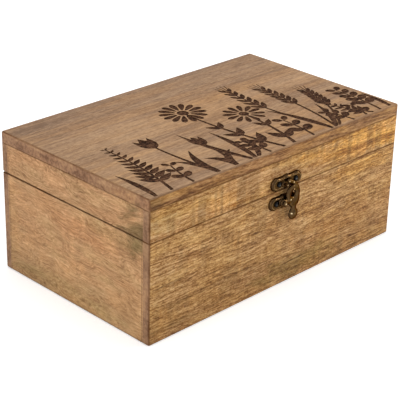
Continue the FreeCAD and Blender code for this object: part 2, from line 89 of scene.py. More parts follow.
class Finish:
    def __init__(self, name):
        self.material = bpy.data.materials.new(name)
        self.material.use_nodes = True
        self.tree = self.material.node_tree
        self.shader = self.tree.nodes["Principled BSDF"]

    def feed(self, socket, value):
        if isinstance(value, bpy.types.NodeSocket):
            self.tree.links.new(value, socket)
        elif value is not None:
            socket.default_value = value

    def put(self, kind, *values, **settings):
        node = self.tree.nodes.new(kind)
        for setting, value in settings.items():
            setattr(node, setting, value)
        for socket, value in zip(node.inputs, values):
            self.feed(socket, value)
        return node

    def calc(self, what, *values):
        return self.put("ShaderNodeMath", *values, operation=what).outputs[0]

    def position(self):  # place on the box in millimetres
        here = self.put("ShaderNodeTexCoord").outputs["Object"]
        scaled = self.put("ShaderNodeVectorMath", here, (1000, 1000, 1000), operation="MULTIPLY")
        return scaled.outputs[0], self.put("ShaderNodeSeparateXYZ", scaled.outputs[0]).outputs

    def vector(self, *parts):
        return self.put("ShaderNodeCombineXYZ", *parts).outputs[0]

    def noise(self, vector, stretch, detail=2.0, shift=(0, 0, 0), rough=0.55):
        spot = self.put("ShaderNodeMapping", vector, shift, None, stretch).outputs[0]
        node = self.put("ShaderNodeTexNoise", spot)
        node.inputs["Scale"].default_value = 1.0
        node.inputs["Detail"].default_value = detail
        node.inputs["Roughness"].default_value = rough
        return node.outputs[0]

    def ease(self, value, low, high):  # 0 at low, 1 at high
        smooth = self.put("ShaderNodeMapRange", value, low, high, 0.0, 1.0, interpolation_type="SMOOTHSTEP")
        return smooth.outputs[0]

    def span(self, value, low, high, first=0.0, last=1.0):
        return self.put("ShaderNodeMapRange", value, low, high, first, last).outputs[0]

    def blend(self, share, first, second, how="MIX"):
        node = self.put("ShaderNodeMix", data_type="RGBA", blend_type=how)
        self.feed(node.inputs[0], share)
        self.feed(node.inputs[6], first)
        self.feed(node.inputs[7], second)
        return node.outputs[2]

    def scaled(self, colour, share):
        return self.put("ShaderNodeVectorMath", colour, None, None, share, operation="SCALE").outputs[0]

    def ramp(self, share, stops):
        node = self.put("ShaderNodeValToRGB", share)
        band = node.color_ramp
        band.elements.remove(band.elements[1])
        band.elements[0].position, band.elements[0].color = stops[0]
        for place, colour in stops[1:]:
            band.elements.new(place).color = colour
        return node.outputs[0]

    def bump(self, height, reach, strength=1.0):  # reach in metres
        node = self.put("ShaderNodeBump")
        node.inputs["Strength"].default_value = strength
        node.inputs["Distance"].default_value = reach
        self.feed(node.inputs["Height"], height)
        self.feed(self.shader.inputs["Normal"], node.outputs[0])


# outside of the case in mm, and how far inside its limits a shade begins and is full
caseSize = {"x": 125.0, "y": 75.5, "top": 106.0, "arris": (1.5, 0.15), "outerBand": (1.6, 0.4)}


def nearLimit(finish, value, limit, reach):  # 1 close to a limit of the case
    return finish.ease(value, limit - reach[0], limit - reach[1])


def arrisShade(finish, x, y, z):  # 1 on the rounded outside edges
    reach = caseSize["arris"]
    side = nearLimit(finish, finish.calc("ABSOLUTE", x), caseSize["x"], reach)
    face = nearLimit(finish, finish.calc("ABSOLUTE", y), caseSize["y"], reach)
    top = nearLimit(finish, z, caseSize["top"], reach)
    foot = finish.ease(z, *reach)
    level = finish.calc("MAXIMUM", top, foot)
    walls = finish.calc("MAXIMUM", side, face)
    corner = finish.calc("MULTIPLY", side, face)
    return finish.calc("MAXIMUM", corner, finish.calc("MULTIPLY", walls, level))


woodMix = {  # alike for all boards: scales per mm, steps from where a shade begins to where it is full
    "lateRise": (0.45, 0.92), "lateFall": (1.0, 0.94),
    "lateScale": (0.03, 0.12, 0.12), "lateStep": (0.36, 0.6),
    "rippleStep": (0.38, 0.62), "patchScale": (0.02, 0.05, 0.05), "patchStep": (0.36, 0.6),
    "cloudScale": (0.05, 0.06, 0.06), "warmStep": (0.42, 0.66), "coolStep": (0.56, 0.32),
    "wobbleScale": (0.06, 0.16, 0.16), "wobble": 2.2, "markStep": (1.1, 0.35),
    "crowdScale": (0.02, 0.09, 0.09), "crowdStep": (0.34, 0.6), "crowd": 0.6,
    "cutReach": 0.5, "sawnScale": (0.3, 0.45, 0.45), "sawnShare": 0.4, "sawnSpan": (0.36, 0.64),
    "stainScale": (0.09, 0.09, 0.09), "stainSpan": (0.3, 0.65), "stainLevels": (0.5, 1.0),
    "noiseSpan": (0.3, 0.7), "duller": 0.1, "glossier": 0.06, "dullEdge": (0.0, 0.8),
    "lineHeight": 0.6, "poreDepth": 0.8, "relief": 0.00012, "reliefShare": 0.6,
}


def boardFinish(name, look):
    f = Finish(name)
    mix = woodMix
    place, (x, y, z) = f.position()
    axes = {"x": x, "y": y, "z": z}
    along, across = (x, y) if look["grain"] == "x" else (y, x)
    shift = look["shift"]
    plain = f.vector(along, across, z)
    sway = f.calc("MULTIPLY", along, look["slope"])
    for amount, scale in look["sways"]:
        swing = f.calc("SUBTRACT", f.noise(plain, scale, 2.0, shift), 0.5)
        sway = f.calc("MULTIPLY_ADD", swing, amount, sway)
    grain = f.vector(along, f.calc("ADD", across, sway), f.calc("ADD", z, sway))
    figure, line = 0.0, None
    for share, length, width, detail in look["layers"]:  # from broad bands to fine dashes, sizes in mm
        line = f.noise(grain, (1 / length, 1 / width, 1 / width), detail, shift)
        figure = f.calc("MULTIPLY_ADD", line, share, figure)
    colour = f.ramp(f.span(figure, *look["reach"]), look["tones"])

    # growth lines: level lines of a slow noise, dark towards one side
    rings = look["rings"]
    slow = f.noise(grain, (1 / rings["length"], 1 / rings["width"], 1 / rings["width"]), 2.0, shift)
    turn = f.calc("FRACT", f.calc("MULTIPLY", slow, rings["count"]))
    late = f.calc("MULTIPLY", f.ease(turn, *mix["lateRise"]), f.ease(turn, *mix["lateFall"]))
    late = f.calc("MULTIPLY", late, f.ease(f.noise(grain, mix["lateScale"], 2.0, shift), *mix["lateStep"]))
    colour = f.blend(f.calc("MULTIPLY", late, rings["share"]), colour, rings["shade"], "MULTIPLY")

    # ripple across the grain in patches, and slow change of depth and warmth
    ripple = f.ease(f.noise(grain, look["rippleScale"], 1.0, shift), *mix["rippleStep"])
    ripple = f.calc("SUBTRACT", ripple, 0.5)
    patchy = f.ease(f.noise(plain, mix["patchScale"], 1.0, shift), *mix["patchStep"])
    colour = f.scaled(colour, f.calc("MULTIPLY_ADD", f.calc("MULTIPLY", ripple, patchy), look["ripple"], 1.0))
    cloud = f.noise(plain, mix["cloudScale"], 3.0, shift)
    colour = f.scaled(colour, f.span(cloud, *mix["noiseSpan"], 1 - look["cloud"], 1 + look["cloud"]))
    warmth = f.noise(plain, look["warmScale"], 2.0, (shift[1], shift[2], shift[0]))
    colour = f.blend(f.ease(warmth, *mix["warmStep"]), colour, look["warm"], "MULTIPLY")
    colour = f.blend(f.ease(warmth, *mix["coolStep"]), colour, look["cool"], "MULTIPLY")

    # stained and pale places on the face, then zones that darken it towards one side
    wobble = f.calc("SUBTRACT", f.noise(grain, mix["wobbleScale"], 3.0, shift), 0.5)

    def stained(colour, marks, plane):
        for (u, v), (wide, high), share, shade in marks:
            du = f.calc("DIVIDE", f.calc("SUBTRACT", axes[plane[0]], u), wide)
            dv = f.calc("DIVIDE", f.calc("SUBTRACT", axes[plane[1]], v), high)
            away = f.calc("SQRT", f.calc("MULTIPLY_ADD", du, du, f.calc("MULTIPLY", dv, dv)))
            mask = f.ease(f.calc("MULTIPLY_ADD", wobble, mix["wobble"], away), *mix["markStep"])
            colour = f.blend(f.calc("MULTIPLY", mask, share), colour, shade, "MULTIPLY")
        return colour

    colour = stained(colour, look["marks"], look["plane"])
    for axis, start, end, shade in look["zones"]:
        colour = f.blend(f.ease(axes[axis], start, end), colour, shade, "MULTIPLY")

    # dark streaks and pores with the grain, in clusters
    crowd = f.ease(f.noise(plain, mix["crowdScale"], 2.0, shift), *mix["crowdStep"])
    crowd = f.calc("MULTIPLY_ADD", crowd, mix["crowd"], 1 - mix["crowd"])
    for scale, step, share, shade in look["flecks"]:
        fleck = f.calc("MULTIPLY", f.ease(f.noise(grain, scale, 1.0, shift), *step), crowd)
        colour = f.blend(f.calc("MULTIPLY", fleck, share), colour, shade, "MULTIPLY")

    # cut ends of the board, across the grain
    if look["ends"]:
        ends = look["ends"]
        cut = f.ease(f.calc("ABSOLUTE", along), ends["start"], ends["start"] + mix["cutReach"])
        mottle = f.calc("MULTIPLY", f.noise(place, ends["broad"], 3.0, shift), 1 - mix["sawnShare"])
        fine = f.noise(place, mix["sawnScale"], 2.0, shift)
        mottle = f.calc("MULTIPLY_ADD", fine, mix["sawnShare"], mottle)
        sawn = stained(f.ramp(f.span(mottle, *mix["sawnSpan"]), ends["tones"]), ends["marks"], "yz")
        colour = f.blend(cut, colour, sawn)

    # darkened edges and joints, and a darker band along the end boards' bottom edge
    stain = f.span(f.noise(plain, mix["stainScale"], 3.0, shift), *mix["stainSpan"], *mix["stainLevels"])
    edge = f.calc("MULTIPLY", f.calc("MULTIPLY", arrisShade(f, x, y, z), stain), look["arris"])
    outer = [nearLimit(f, f.calc("ABSOLUTE", axes[axis]), caseSize[axis], caseSize["outerBand"]) for axis in "xy"]
    outerBand = f.calc("MULTIPLY", stain, f.calc("MAXIMUM", *outer))
    for axis, at, width, share in look["joints"]:
        gap = f.calc("ABSOLUTE", f.calc("SUBTRACT", axes[axis], at))
        mark = f.calc("MULTIPLY", f.ease(gap, width, 0.0), f.calc("MULTIPLY", outerBand, share))
        edge = f.calc("MAXIMUM", edge, mark)
    colour = f.blend(edge, colour, look["edgeTone"])

    f.feed(f.shader.inputs["Base Color"], colour)
    f.shader.inputs["Specular IOR Level"].default_value = look["sheen"]
    rough = f.span(line, *mix["noiseSpan"], look["gloss"] + mix["duller"], look["gloss"] - mix["glossier"])
    rough = f.calc("MAXIMUM", rough, f.ease(edge, *mix["dullEdge"]))  # stained edges are dull
    f.feed(f.shader.inputs["Roughness"], rough)
    pores = f.calc("MULTIPLY", fleck, mix["poreDepth"])
    height = f.calc("SUBTRACT", f.calc("MULTIPLY", line, mix["lineHeight"]), pores)
    f.bump(height, mix["relief"], mix["reliefShare"])
    return f.material


# shades in the lists below multiply the wood's own colour
frontLook = {
    "grain": "x", "plane": "xz", "shift": (3.1, 7.7, 1.3), "slope": 0.02,
    "sways": [(7.0, (0.012, 0.03, 0.03)), (0.8, (0.08, 0.1, 0.1))],
    "layers": [(0.10, 160, 14, 2), (0.14, 60, 2.0, 1), (0.26, 16, 1.1, 1), (0.27, 4.2, 0.95, 2),
               (0.23, 1.5, 0.9, 3)],
    "reach": (0.4105, 0.5845),
    "tones": [(0.0, tone(116, 75, 32)), (0.25, tone(149, 105, 55)), (0.5, tone(174, 131, 79)),
              (0.75, tone(196, 154, 98)), (1.0, tone(214, 175, 121))],
    "ripple": 0.24, "rippleScale": (0.16, 0.016, 0.016), "cloud": 0.05,
    "rings": {"length": 170, "width": 15, "count": 11, "share": 0.75, "shade": (0.74, 0.68, 0.62, 1)},
    "warmScale": (0.026, 0.08, 0.08), "warm": (1.02, 1.0, 0.91, 1), "cool": (0.99, 0.98, 1.02, 1),
    "marks": [
        ((14, 11), (54, 11), 0.9, (0.66, 0.68, 0.52, 1)),
        ((85, 68), (40, 8), 0.9, (1.17, 1.10, 0.80, 1)),
        ((70, 30), (64, 12), 0.8, (0.90, 0.82, 0.72, 1)),
        ((95, 14), (40, 3), 0.7, (0.74, 0.66, 0.58, 1)),
        ((104, 52), (30, 4), 0.6, (1.12, 1.10, 1.0, 1)),
        ((-60, 56), (40, 14), 0.5, (1.02, 1.03, 1.04, 1)),
        ((-108, 40.5), (24, 1.0), 0.7, (0.50, 0.46, 0.42, 1)),
        ((-70, 24), (60, 2.2), 0.6, (0.72, 0.70, 0.66, 1)),
        ((-100, 9), (40, 3), 0.7, (0.72, 0.72, 0.68, 1)),
        ((40, 47), (70, 2.0), 0.5, (0.80, 0.74, 0.70, 1)),
    ],
    # the zone darkens the front towards the bottom: painted shade, partly the wood's own darker tone
    "zones": [("z", 50, 6, (0.86, 0.83, 0.79, 1))],
    "flecks": [((0.02, 1.05, 1.05), (0.54, 0.68), 0.45, (0.62, 0.50, 0.40, 1)),
               ((0.22, 1.0, 1.0), (0.56, 0.70), 0.6, (0.50, 0.43, 0.36, 1)),
               ((0.30, 3.2, 3.2), (0.58, 0.70), 0.7, (0.48, 0.40, 0.33, 1))],
    "ends": {"start": 124.0, "broad": (0.1, 0.12, 0.05),
             "tones": [(0.0, tone(116, 81, 56)), (0.5, tone(149, 112, 82)), (1.0, tone(172, 133, 97))],
             "marks": [((-72.5, 66), (5, 10), 0.7, (0.84, 0.81, 0.77, 1)),
                       ((-72.5, 34), (5, 14), 0.6, (1.08, 1.04, 0.96, 1)),
                       ((-72.5, 8), (5, 12), 0.6, (0.86, 0.84, 0.80, 1))]},
    "arris": 0.9, "edgeTone": tone(82, 44, 10), "gloss": 0.5, "sheen": 0.16,
    "joints": [("z", 75.0, 1.1, 1.0)],
}
railLook = {
    **frontLook, "shift": (12.4, 3.2, 8.8), "slope": -0.01,
    "tones": [(0.0, tone(127, 82, 36)), (0.25, tone(154, 109, 57)), (0.5, tone(176, 133, 79)),
              (0.75, tone(193, 151, 97)), (1.0, tone(210, 171, 118))],
    "marks": [
        ((90, 88), (62, 13), 0.9, (1.36, 1.27, 0.82, 1)),
        ((96, 84), (42, 2.6), 0.9, (0.56, 0.47, 0.38, 1)),
        ((60, 78), (40, 1.6), 0.7, (0.68, 0.60, 0.52, 1)),
        ((35, 91), (24, 5), 0.6, (1.16, 1.08, 0.86, 1)),
        ((-62, 84), (26, 7), 0.7, (1.12, 1.06, 0.84, 1)),
        ((-112, 86), (16, 10), 0.7, (0.88, 0.93, 0.92, 1)),
        ((-30, 79), (30, 2.4), 0.6, (1.12, 1.05, 0.84, 1)),
    ],
    "ripple": 0.40, "rippleScale": (0.17, 0.010, 0.010), "zones": [],
    "warm": (1.04, 1.01, 0.84, 1), "cool": (0.99, 0.97, 1.04, 1),
    "joints": [("z", 75.0, 1.0, 1.0), ("z", 97.5, 0.9, 0.85)],
}
endLook = {
    **frontLook, "grain": "y", "plane": "yz", "shift": (2.2, 5.1, 6.4), "slope": 0.0,
    "sways": [(34.0, (0.016, 0.02, 0.03)), (6.0, (0.05, 0.05, 0.05))],
    "layers": [(0.14, 100, 16, 2), (0.18, 46, 2.4, 1), (0.28, 14, 1.2, 1), (0.24, 4.4, 1.0, 2),
               (0.16, 1.6, 0.9, 3)],
    "reach": (0.36, 0.64),
    "tones": [(0.0, tone(147, 105, 68)), (0.3, tone(176, 133, 91)), (0.55, tone(195, 150, 106)),
              (0.8, tone(208, 164, 119)), (1.0, tone(220, 177, 133))],
    "marks": [
        ((-5, 58), (30, 12), 0.7, (1.03, 0.95, 0.92, 1)),
        ((-63, 76), (14, 18), 1.0, (0.50, 0.53, 0.46, 1)),
        ((-42, 68), (34, 8), 0.7, (0.84, 0.88, 0.80, 1)),
        ((10, 8), (70, 10), 0.7, (0.88, 0.91, 0.82, 1)),
        ((66, 36), (12, 40), 0.6, (0.90, 0.92, 0.84, 1)),
    ],
    "ripple": 0.14, "rippleScale": (0.09, 0.05, 0.05), "cloud": 0.07,
    "rings": {"length": 60, "width": 22, "count": 24, "share": 0.85, "shade": (0.80, 0.77, 0.72, 1)},
    "warm": (1.03, 0.99, 0.94, 1), "cool": (0.96, 1.0, 0.95, 1),
    "zones": [("z", 50, 8, (0.85, 0.88, 0.85, 1))],
    "flecks": [((0.03, 0.6, 0.6), (0.55, 0.70), 0.5, (0.76, 0.70, 0.62, 1)),
               ((0.17, 0.8, 0.8), (0.55, 0.70), 0.4, (0.66, 0.60, 0.52, 1)),
               ((0.30, 3.2, 3.2), (0.58, 0.70), 0.6, (0.56, 0.48, 0.40, 1))],
    "ends": None, "arris": 0.75, "edgeTone": tone(66, 38, 20),
    # the ("z", 0.0) entry is no joint: it darkens a band along the bottom edge
    "joints": [("z", 75.2, 1.0, 1.0), ("z", 0.0, 2.6, 0.8), ("y", -68.6, 0.8, 0.6), ("y", 68.6, 0.8, 0.5)],
}
endRailLook = {
    **endLook, "shift": (8.1, 1.7, 3.9), "zones": [], "reach": (0.37, 0.63), "cloud": 0.09,
    "tones": [(0.0, tone(138, 97, 61)), (0.3, tone(168, 126, 86)), (0.55, tone(188, 144, 102)),
              (0.8, tone(202, 158, 115)), (1.0, tone(216, 173, 130))],
    "joints": [("z", 75.6, 0.9, 1.0), ("z", 97.5, 0.8, 0.6), ("y", -68.6, 0.8, 0.6), ("y", 68.6, 0.8, 0.5)],
}
topLook = {
    **frontLook, "plane": "xy", "shift": (6.6, 9.3, 2.7), "slope": 0.0,
    "sways": [(2.5, (0.006, 0.03, 0.03))],
    "layers": [(0.26, 300, 16, 2), (0.26, 90, 3.2, 2), (0.22, 14, 1.6, 1), (0.26, 3.4, 1.3, 3)],
    "reach": (0.41, 0.59),
    # the top's paler, greyer tones are the wood's colour with, in part, a painted sheen of its varnish
    "tones": [(0.0, tone(141, 109, 81)), (0.35, tone(159, 125, 94)),
              (0.65, tone(172, 136, 101)), (1.0, tone(187, 150, 111))],
    "ripple": 0.06, "rippleScale": (0.05, 0.02, 0.02), "cloud": 0.03,
    "rings": {"length": 400, "width": 26, "count": 9, "share": 0.5, "shade": (0.86, 0.84, 0.82, 1)},
    "warm": (1.05, 1.0, 0.90, 1), "cool": (0.97, 0.99, 1.02, 1), "warmScale": (0.006, 0.07, 0.07),
    "marks": [
        ((40, 25), (45, 8), 0.6, (1.06, 1.01, 0.88, 1)),
        ((70, -66), (60, 7), 0.8, (1.10, 1.0, 0.74, 1)),
        ((-95, 62), (50, 12), 0.6, (0.90, 0.91, 0.94, 1)),
        ((60, 66), (80, 9), 0.5, (0.90, 0.90, 0.92, 1)),
    ],
    "zones": [("y", 10, 70, (0.86, 0.85, 0.86, 1))],
    "flecks": [((0.12, 1.0, 1.0), (0.55, 0.70), 0.3, (0.66, 0.58, 0.50, 1)),
               ((0.26, 3.2, 3.2), (0.58, 0.70), 0.6, (0.56, 0.48, 0.42, 1))],
    "ends": {"start": 124.0, "broad": (0.1, 0.05, 0.12),
             "tones": [(0.0, tone(112, 77, 53)), (0.4, tone(149, 110, 80)), (1.0, tone(182, 142, 103))],
             "marks": [((-56, 100.5), (16, 5), 0.9, (1.16, 1.13, 1.02, 1)),
                       ((-30, 99), (20, 3), 0.6, (0.84, 0.80, 0.76, 1)),
                       ((-64, 98.5), (4.5, 4), 0.9, (0.62, 0.62, 0.58, 1)),
                       ((-72.5, 102), (3.5, 7), 0.8, (1.10, 1.06, 1.03, 1)),
                       ((30, 101), (30, 5), 0.5, (1.05, 1.0, 0.94, 1))]},
    "arris": 0.8, "edgeTone": tone(84, 52, 32), "sheen": 0.09,
    "joints": [("z", 97.5, 1.1, 0.85)],
}
topEdgeLook = {
    **railLook, "shift": (5.2, 1.9, 4.6), "slope": 0.03,
    "layers": [(0.20, 70, 9, 2), (0.28, 40, 2.4, 2), (0.26, 12, 1.3, 1), (0.26, 3.4, 1.0, 3)],
    "reach": (0.40, 0.60),
    "tones": [(0.0, tone(100, 61, 27)), (0.3, tone(138, 95, 52)),
              (0.6, tone(166, 122, 73)), (1.0, tone(192, 150, 98))],
    "marks": [
        ((-121, 102), (9, 6), 0.8, (0.52, 0.52, 0.54, 1)),
        ((98, 103), (22, 4), 0.7, (0.66, 0.60, 0.54, 1)),
        ((-70, 99), (40, 1.6), 0.7, (0.62, 0.56, 0.50, 1)),
        ((20, 104), (50, 1.6), 0.6, (1.14, 1.08, 0.84, 1)),
    ],
    "ripple": 0.08, "ends": topLook["ends"], "arris": 0.8, "joints": [("z", 97.5, 1.0, 0.85)],
}
floorLook = {
    **topLook, "shift": (4.4, 6.1, 0.8),
    "tones": [(0.0, tone(176, 140, 98)), (0.4, tone(192, 156, 112)), (1.0, tone(210, 176, 132))],
    "marks": [], "zones": [], "ends": None, "arris": 0.0, "joints": [], "gloss": 0.62,
}

wood = {
    "front": boardFinish("front board wood", frontLook),
    "rail": boardFinish("lid rail wood", railLook),
    "end": boardFinish("end board wood", endLook),
    "endRail": boardFinish("lid end wood", endRailLook),
    "top": boardFinish("top board wood", topLook),
    "topEdge": boardFinish("top board edge wood", topEdgeLook),
    "floor": boardFinish("floor board wood", floorLook),
}
boardWood = {
    "base_front_panel": "front", "base_back_panel": "front",
    "base_left_panel": "end", "base_right_panel": "end",
    "lid_front_rail": "rail", "lid_back_rail": "rail",
    "lid_left_rail": "endRail", "lid_right_rail": "endRail",
    "bottom_board": "floor",
}


def dressNode(node, finish):
    cadNodes[node].data.materials.clear()
    cadNodes[node].data.materials.append(finish)


for node, kind in boardWood.items():
    dressNode(node, wood[kind])
print("boards finished,", len(boardWood))


burntLook = {
    "tones": [(0.0, tone(22, 11, 6)), (0.5, tone(68, 44, 30)), (1.0, tone(112, 80, 58))],
    "char": (0.2, 0.6, 0.6), "speck": (1.0, 1.0, 1.0), "span": (0.37, 0.63),
    "rough": 0.8, "sheen": 0.05, "relief": (0.0002, 0.6),
}


def burntFinish():
    f = Finish("burnt engraving")
    place = f.position()[0]
    char = f.noise(place, burntLook["char"], 3.0)
    speck = f.noise(place, burntLook["speck"], 2.0)
    share = f.calc("MULTIPLY_ADD", speck, 0.5, f.calc("MULTIPLY", char, 0.5))
    f.feed(f.shader.inputs["Base Color"], f.ramp(f.span(share, *burntLook["span"]), burntLook["tones"]))
    f.shader.inputs["Roughness"].default_value = burntLook["rough"]
    f.shader.inputs["Specular IOR Level"].default_value = burntLook["sheen"]
    f.bump(speck, *burntLook["relief"])
    return f.material


metalLook = {  # tones from grime to bare metal, by the attribute that holds wear and painted highlights
    "cast": {"tones": [(0.0, (0.056, 0.031, 0.014, 1)), (0.3, (0.092, 0.052, 0.021, 1)),
                       (0.55, (0.21, 0.132, 0.058, 1)), (0.85, (0.80, 0.65, 0.41, 1))],
             "rough": 0.25, "rim": (0.42, 0.32, 0.21, 1)},
    "nail": {"tones": [(0.0, (0.007, 0.007, 0.007, 1)), (0.35, (0.020, 0.020, 0.021, 1)),
                       (0.85, (0.44, 0.40, 0.33, 1))],
             "rough": 0.22, "rim": (0.36, 0.35, 0.34, 1)},
}
patina = {"blotch": (0.45, 0.45, 0.45), "wear": 0.12, "fine": (1.6, 1.6, 1.6), "span": (0.3, 0.7),
          "duller": 0.08, "glossier": 0.06, "relief": (0.00005, 0.5)}


def bronzeFinish(name, look):  # dark patina, rubbed through and painted with highlights where the attribute says so
    f = Finish(name)
    place = f.position()[0]
    rub = f.put("ShaderNodeAttribute", attribute_name="rub").outputs["Fac"]
    blotch = f.noise(place, patina["blotch"], 3.0)
    fine = f.noise(place, patina["fine"], 2.0)
    highlightAndWear = f.calc("ADD", rub, f.span(blotch, *patina["span"], -patina["wear"], patina["wear"]))
    f.feed(f.shader.inputs["Base Color"], f.ramp(highlightAndWear, look["tones"]))
    f.shader.inputs["Metallic"].default_value = 1.0
    f.shader.inputs["Specular Tint"].default_value = look["rim"]
    levels = look["rough"] + patina["duller"], look["rough"] - patina["glossier"]
    f.feed(f.shader.inputs["Roughness"], f.span(fine, *patina["span"], *levels))
    f.bump(fine, *patina["relief"])
    return f.material


plainLook = {
    "hinge brass": {"pale": (0.44, 0.31, 0.14, 1), "dull": (0.17, 0.11, 0.05, 1), "rough": 0.38},
    "screw brass": {"pale": (0.50, 0.36, 0.17, 1), "dull": (0.20, 0.13, 0.06, 1), "rough": 0.34},
    "brad steel": {"pale": (0.52, 0.51, 0.49, 1), "dull": (0.24, 0.22, 0.20, 1), "rough": 0.4},
}
tarnished = {"tarnish": (0.25, 0.6, 0.6), "scratch": (0.3, 4.0, 4.0), "scratchShare": 0.35,
             "step": (0.36, 0.62), "span": (0.3, 0.7), "glossier": 0.08, "duller": 0.12,
             "relief": (0.00003, 0.4)}


def plainFinish(name, look):
    f = Finish(name)
    place = f.position()[0]
    tarnish = f.noise(place, tarnished["tarnish"], 3.0)
    scratch = f.noise(place, tarnished["scratch"], 2.0)
    share = f.calc("MULTIPLY", tarnish, 1 - tarnished["scratchShare"])
    share = f.calc("MULTIPLY_ADD", scratch, tarnished["scratchShare"], share)
    colour = f.blend(f.ease(share, *tarnished["step"]), look["dull"], look["pale"])
    f.feed(f.shader.inputs["Base Color"], colour)
    f.shader.inputs["Metallic"].default_value = 1.0
    levels = look["rough"] - tarnished["glossier"], look["rough"] + tarnished["duller"]
    f.feed(f.shader.inputs["Roughness"], f.span(scratch, *tarnished["span"], *levels))
    f.bump(scratch, *tarnished["relief"])
    return f.material


burnt = burntFinish()
bronze = bronzeFinish("antique bronze", metalLook["cast"])
nailBronze = bronzeFinish("nail bronze", metalLook["nail"])
plainMetal = {name: plainFinish(name, look) for name, look in plainLook.items()}
metalNodes = {"hinge_base_screws": "screw brass", "hinge_lid_screws": "screw brass",
              "bottom_brads": "brad steel"}
for side in ("left", "right"):
    for part in ("base_leaf", "lid_leaf", "pin"):
        metalNodes[f"{side}_hinge_{part}"] = "hinge brass"
for node, kind in metalNodes.items():
    dressNode(node, plainMetal[kind])
print("hinges and brads finished")


# geometry node trees

def newTree(name, inputs):
    tree = bpy.data.node_groups.new(name, "GeometryNodeTree")
    kinds = {"object": "NodeSocketObject", "count": "NodeSocketInt", "size": "NodeSocketFloat",
             "finish": "NodeSocketMaterial", "geometry": "NodeSocketGeometry"}
    for label, kind in inputs:
        tree.interface.new_socket(name=label, in_out="INPUT", socket_type=kinds[kind])
    tree.interface.new_socket(name="Result", in_out="OUTPUT", socket_type="NodeSocketGeometry")
    start = tree.nodes.new("NodeGroupInput")
    end = tree.nodes.new("NodeGroupOutput")

    def put(kind, *values, **settings):
        node = tree.nodes.new(kind)
        for setting, value in settings.items():
            setattr(node, setting, value)
        for socket, value in zip(node.inputs, values):
            if isinstance(value, bpy.types.NodeSocket):
                tree.links.new(value, socket)
            elif value is not None:
                socket.default_value = value
        return node

    def close(geometry, finish):  # every tree ends in real faces with their finish
        real = put("GeometryNodeRealizeInstances", geometry)
        done = put("GeometryNodeSetMaterial", real.outputs[0], None, finish)
        tree.links.new(done.outputs[0], end.inputs[0])

    return tree, put, start.outputs, close


def runTree(tree, mesh, values):  # plain mesh that a tree makes of a mesh
    host = bpy.data.objects.new(tree.name, mesh)
    scene.collection.objects.link(host)
    modifier = host.modifiers.new("tree", "NODES")
    modifier.node_group = tree
    sockets = {item.name: item.identifier for item in tree.interface.items_tree if item.in_out == "INPUT"}
    for label, value in values.items():
        modifier[sockets[label]] = value
    result = bpy.data.meshes.new_from_object(host.evaluated_get(bpy.context.evaluated_depsgraph_get()))
    bpy.data.objects.remove(host)
    return result


def leafTree():  # pairs of leaves along a stem
    tree, put, given, close = newTree("leaves along stem", [
        ("Stem", "object"), ("Leaf", "object"), ("Pairs", "count"), ("From", "size"), ("First size", "size"),
        ("Last size", "size"), ("Spread", "size"), ("Finish", "finish")])
    stem = put("GeometryNodeObjectInfo", given["Stem"]).outputs["Geometry"]
    leaf = put("GeometryNodeObjectInfo", given["Leaf"]).outputs["Geometry"]
    part = put("GeometryNodeTrimCurve", stem)
    tree.links.new(given["From"], part.inputs["Start"])
    points = put("GeometryNodeCurveToPoints", part.outputs[0], given["Pairs"], mode="COUNT")
    heading = put("ShaderNodeSeparateXYZ", points.outputs["Tangent"]).outputs
    angle = put("ShaderNodeMath", heading[1], heading[0], operation="ARCTAN2").outputs[0]
    last = put("ShaderNodeMath", given["Pairs"], 1.0, operation="SUBTRACT").outputs[0]
    index = put("GeometryNodeInputIndex").outputs[0]
    size = put("ShaderNodeMapRange", index, 0.0, last, given["First size"], given["Last size"]).outputs[0]
    both = put("GeometryNodeJoinGeometry")
    for way in ("ADD", "SUBTRACT"):
        lean = put("ShaderNodeMath", angle, given["Spread"], operation=way).outputs[0]
        turn = put("ShaderNodeCombineXYZ", 0.0, 0.0, lean).outputs[0]
        rotation = put("FunctionNodeEulerToRotation", turn).outputs[0]
        side = put("GeometryNodeInstanceOnPoints", points.outputs["Points"], None, leaf, None, None,
                   rotation, size)
        tree.links.new(side.outputs[0], both.inputs[0])
    close(both.outputs[0], given["Finish"])
    return tree


def petalTree():  # petals round a flower's eye
    tree, put, given, close = newTree("petals round eye", [
        ("Petal", "object"), ("Petals", "count"), ("Eye radius", "size"), ("Petal size", "size"),
        ("Finish", "finish")])
    petal = put("GeometryNodeObjectInfo", given["Petal"]).outputs["Geometry"]
    ring = put("GeometryNodeMeshCircle", given["Petals"], given["Eye radius"])
    spot = put("GeometryNodeInputPosition").outputs[0]
    parts = put("ShaderNodeSeparateXYZ", spot).outputs
    angle = put("ShaderNodeMath", parts[1], parts[0], operation="ARCTAN2").outputs[0]
    turn = put("ShaderNodeCombineXYZ", 0.0, 0.0, angle).outputs[0]
    rotation = put("FunctionNodeEulerToRotation", turn).outputs[0]
    petals = put("GeometryNodeInstanceOnPoints", ring.outputs[0], None, petal, None, None,
                 rotation, given["Petal size"])
    close(petals.outputs[0], given["Finish"])
    return tree


nailSides = {"head": 28, "rings": 14, "shank": 14}


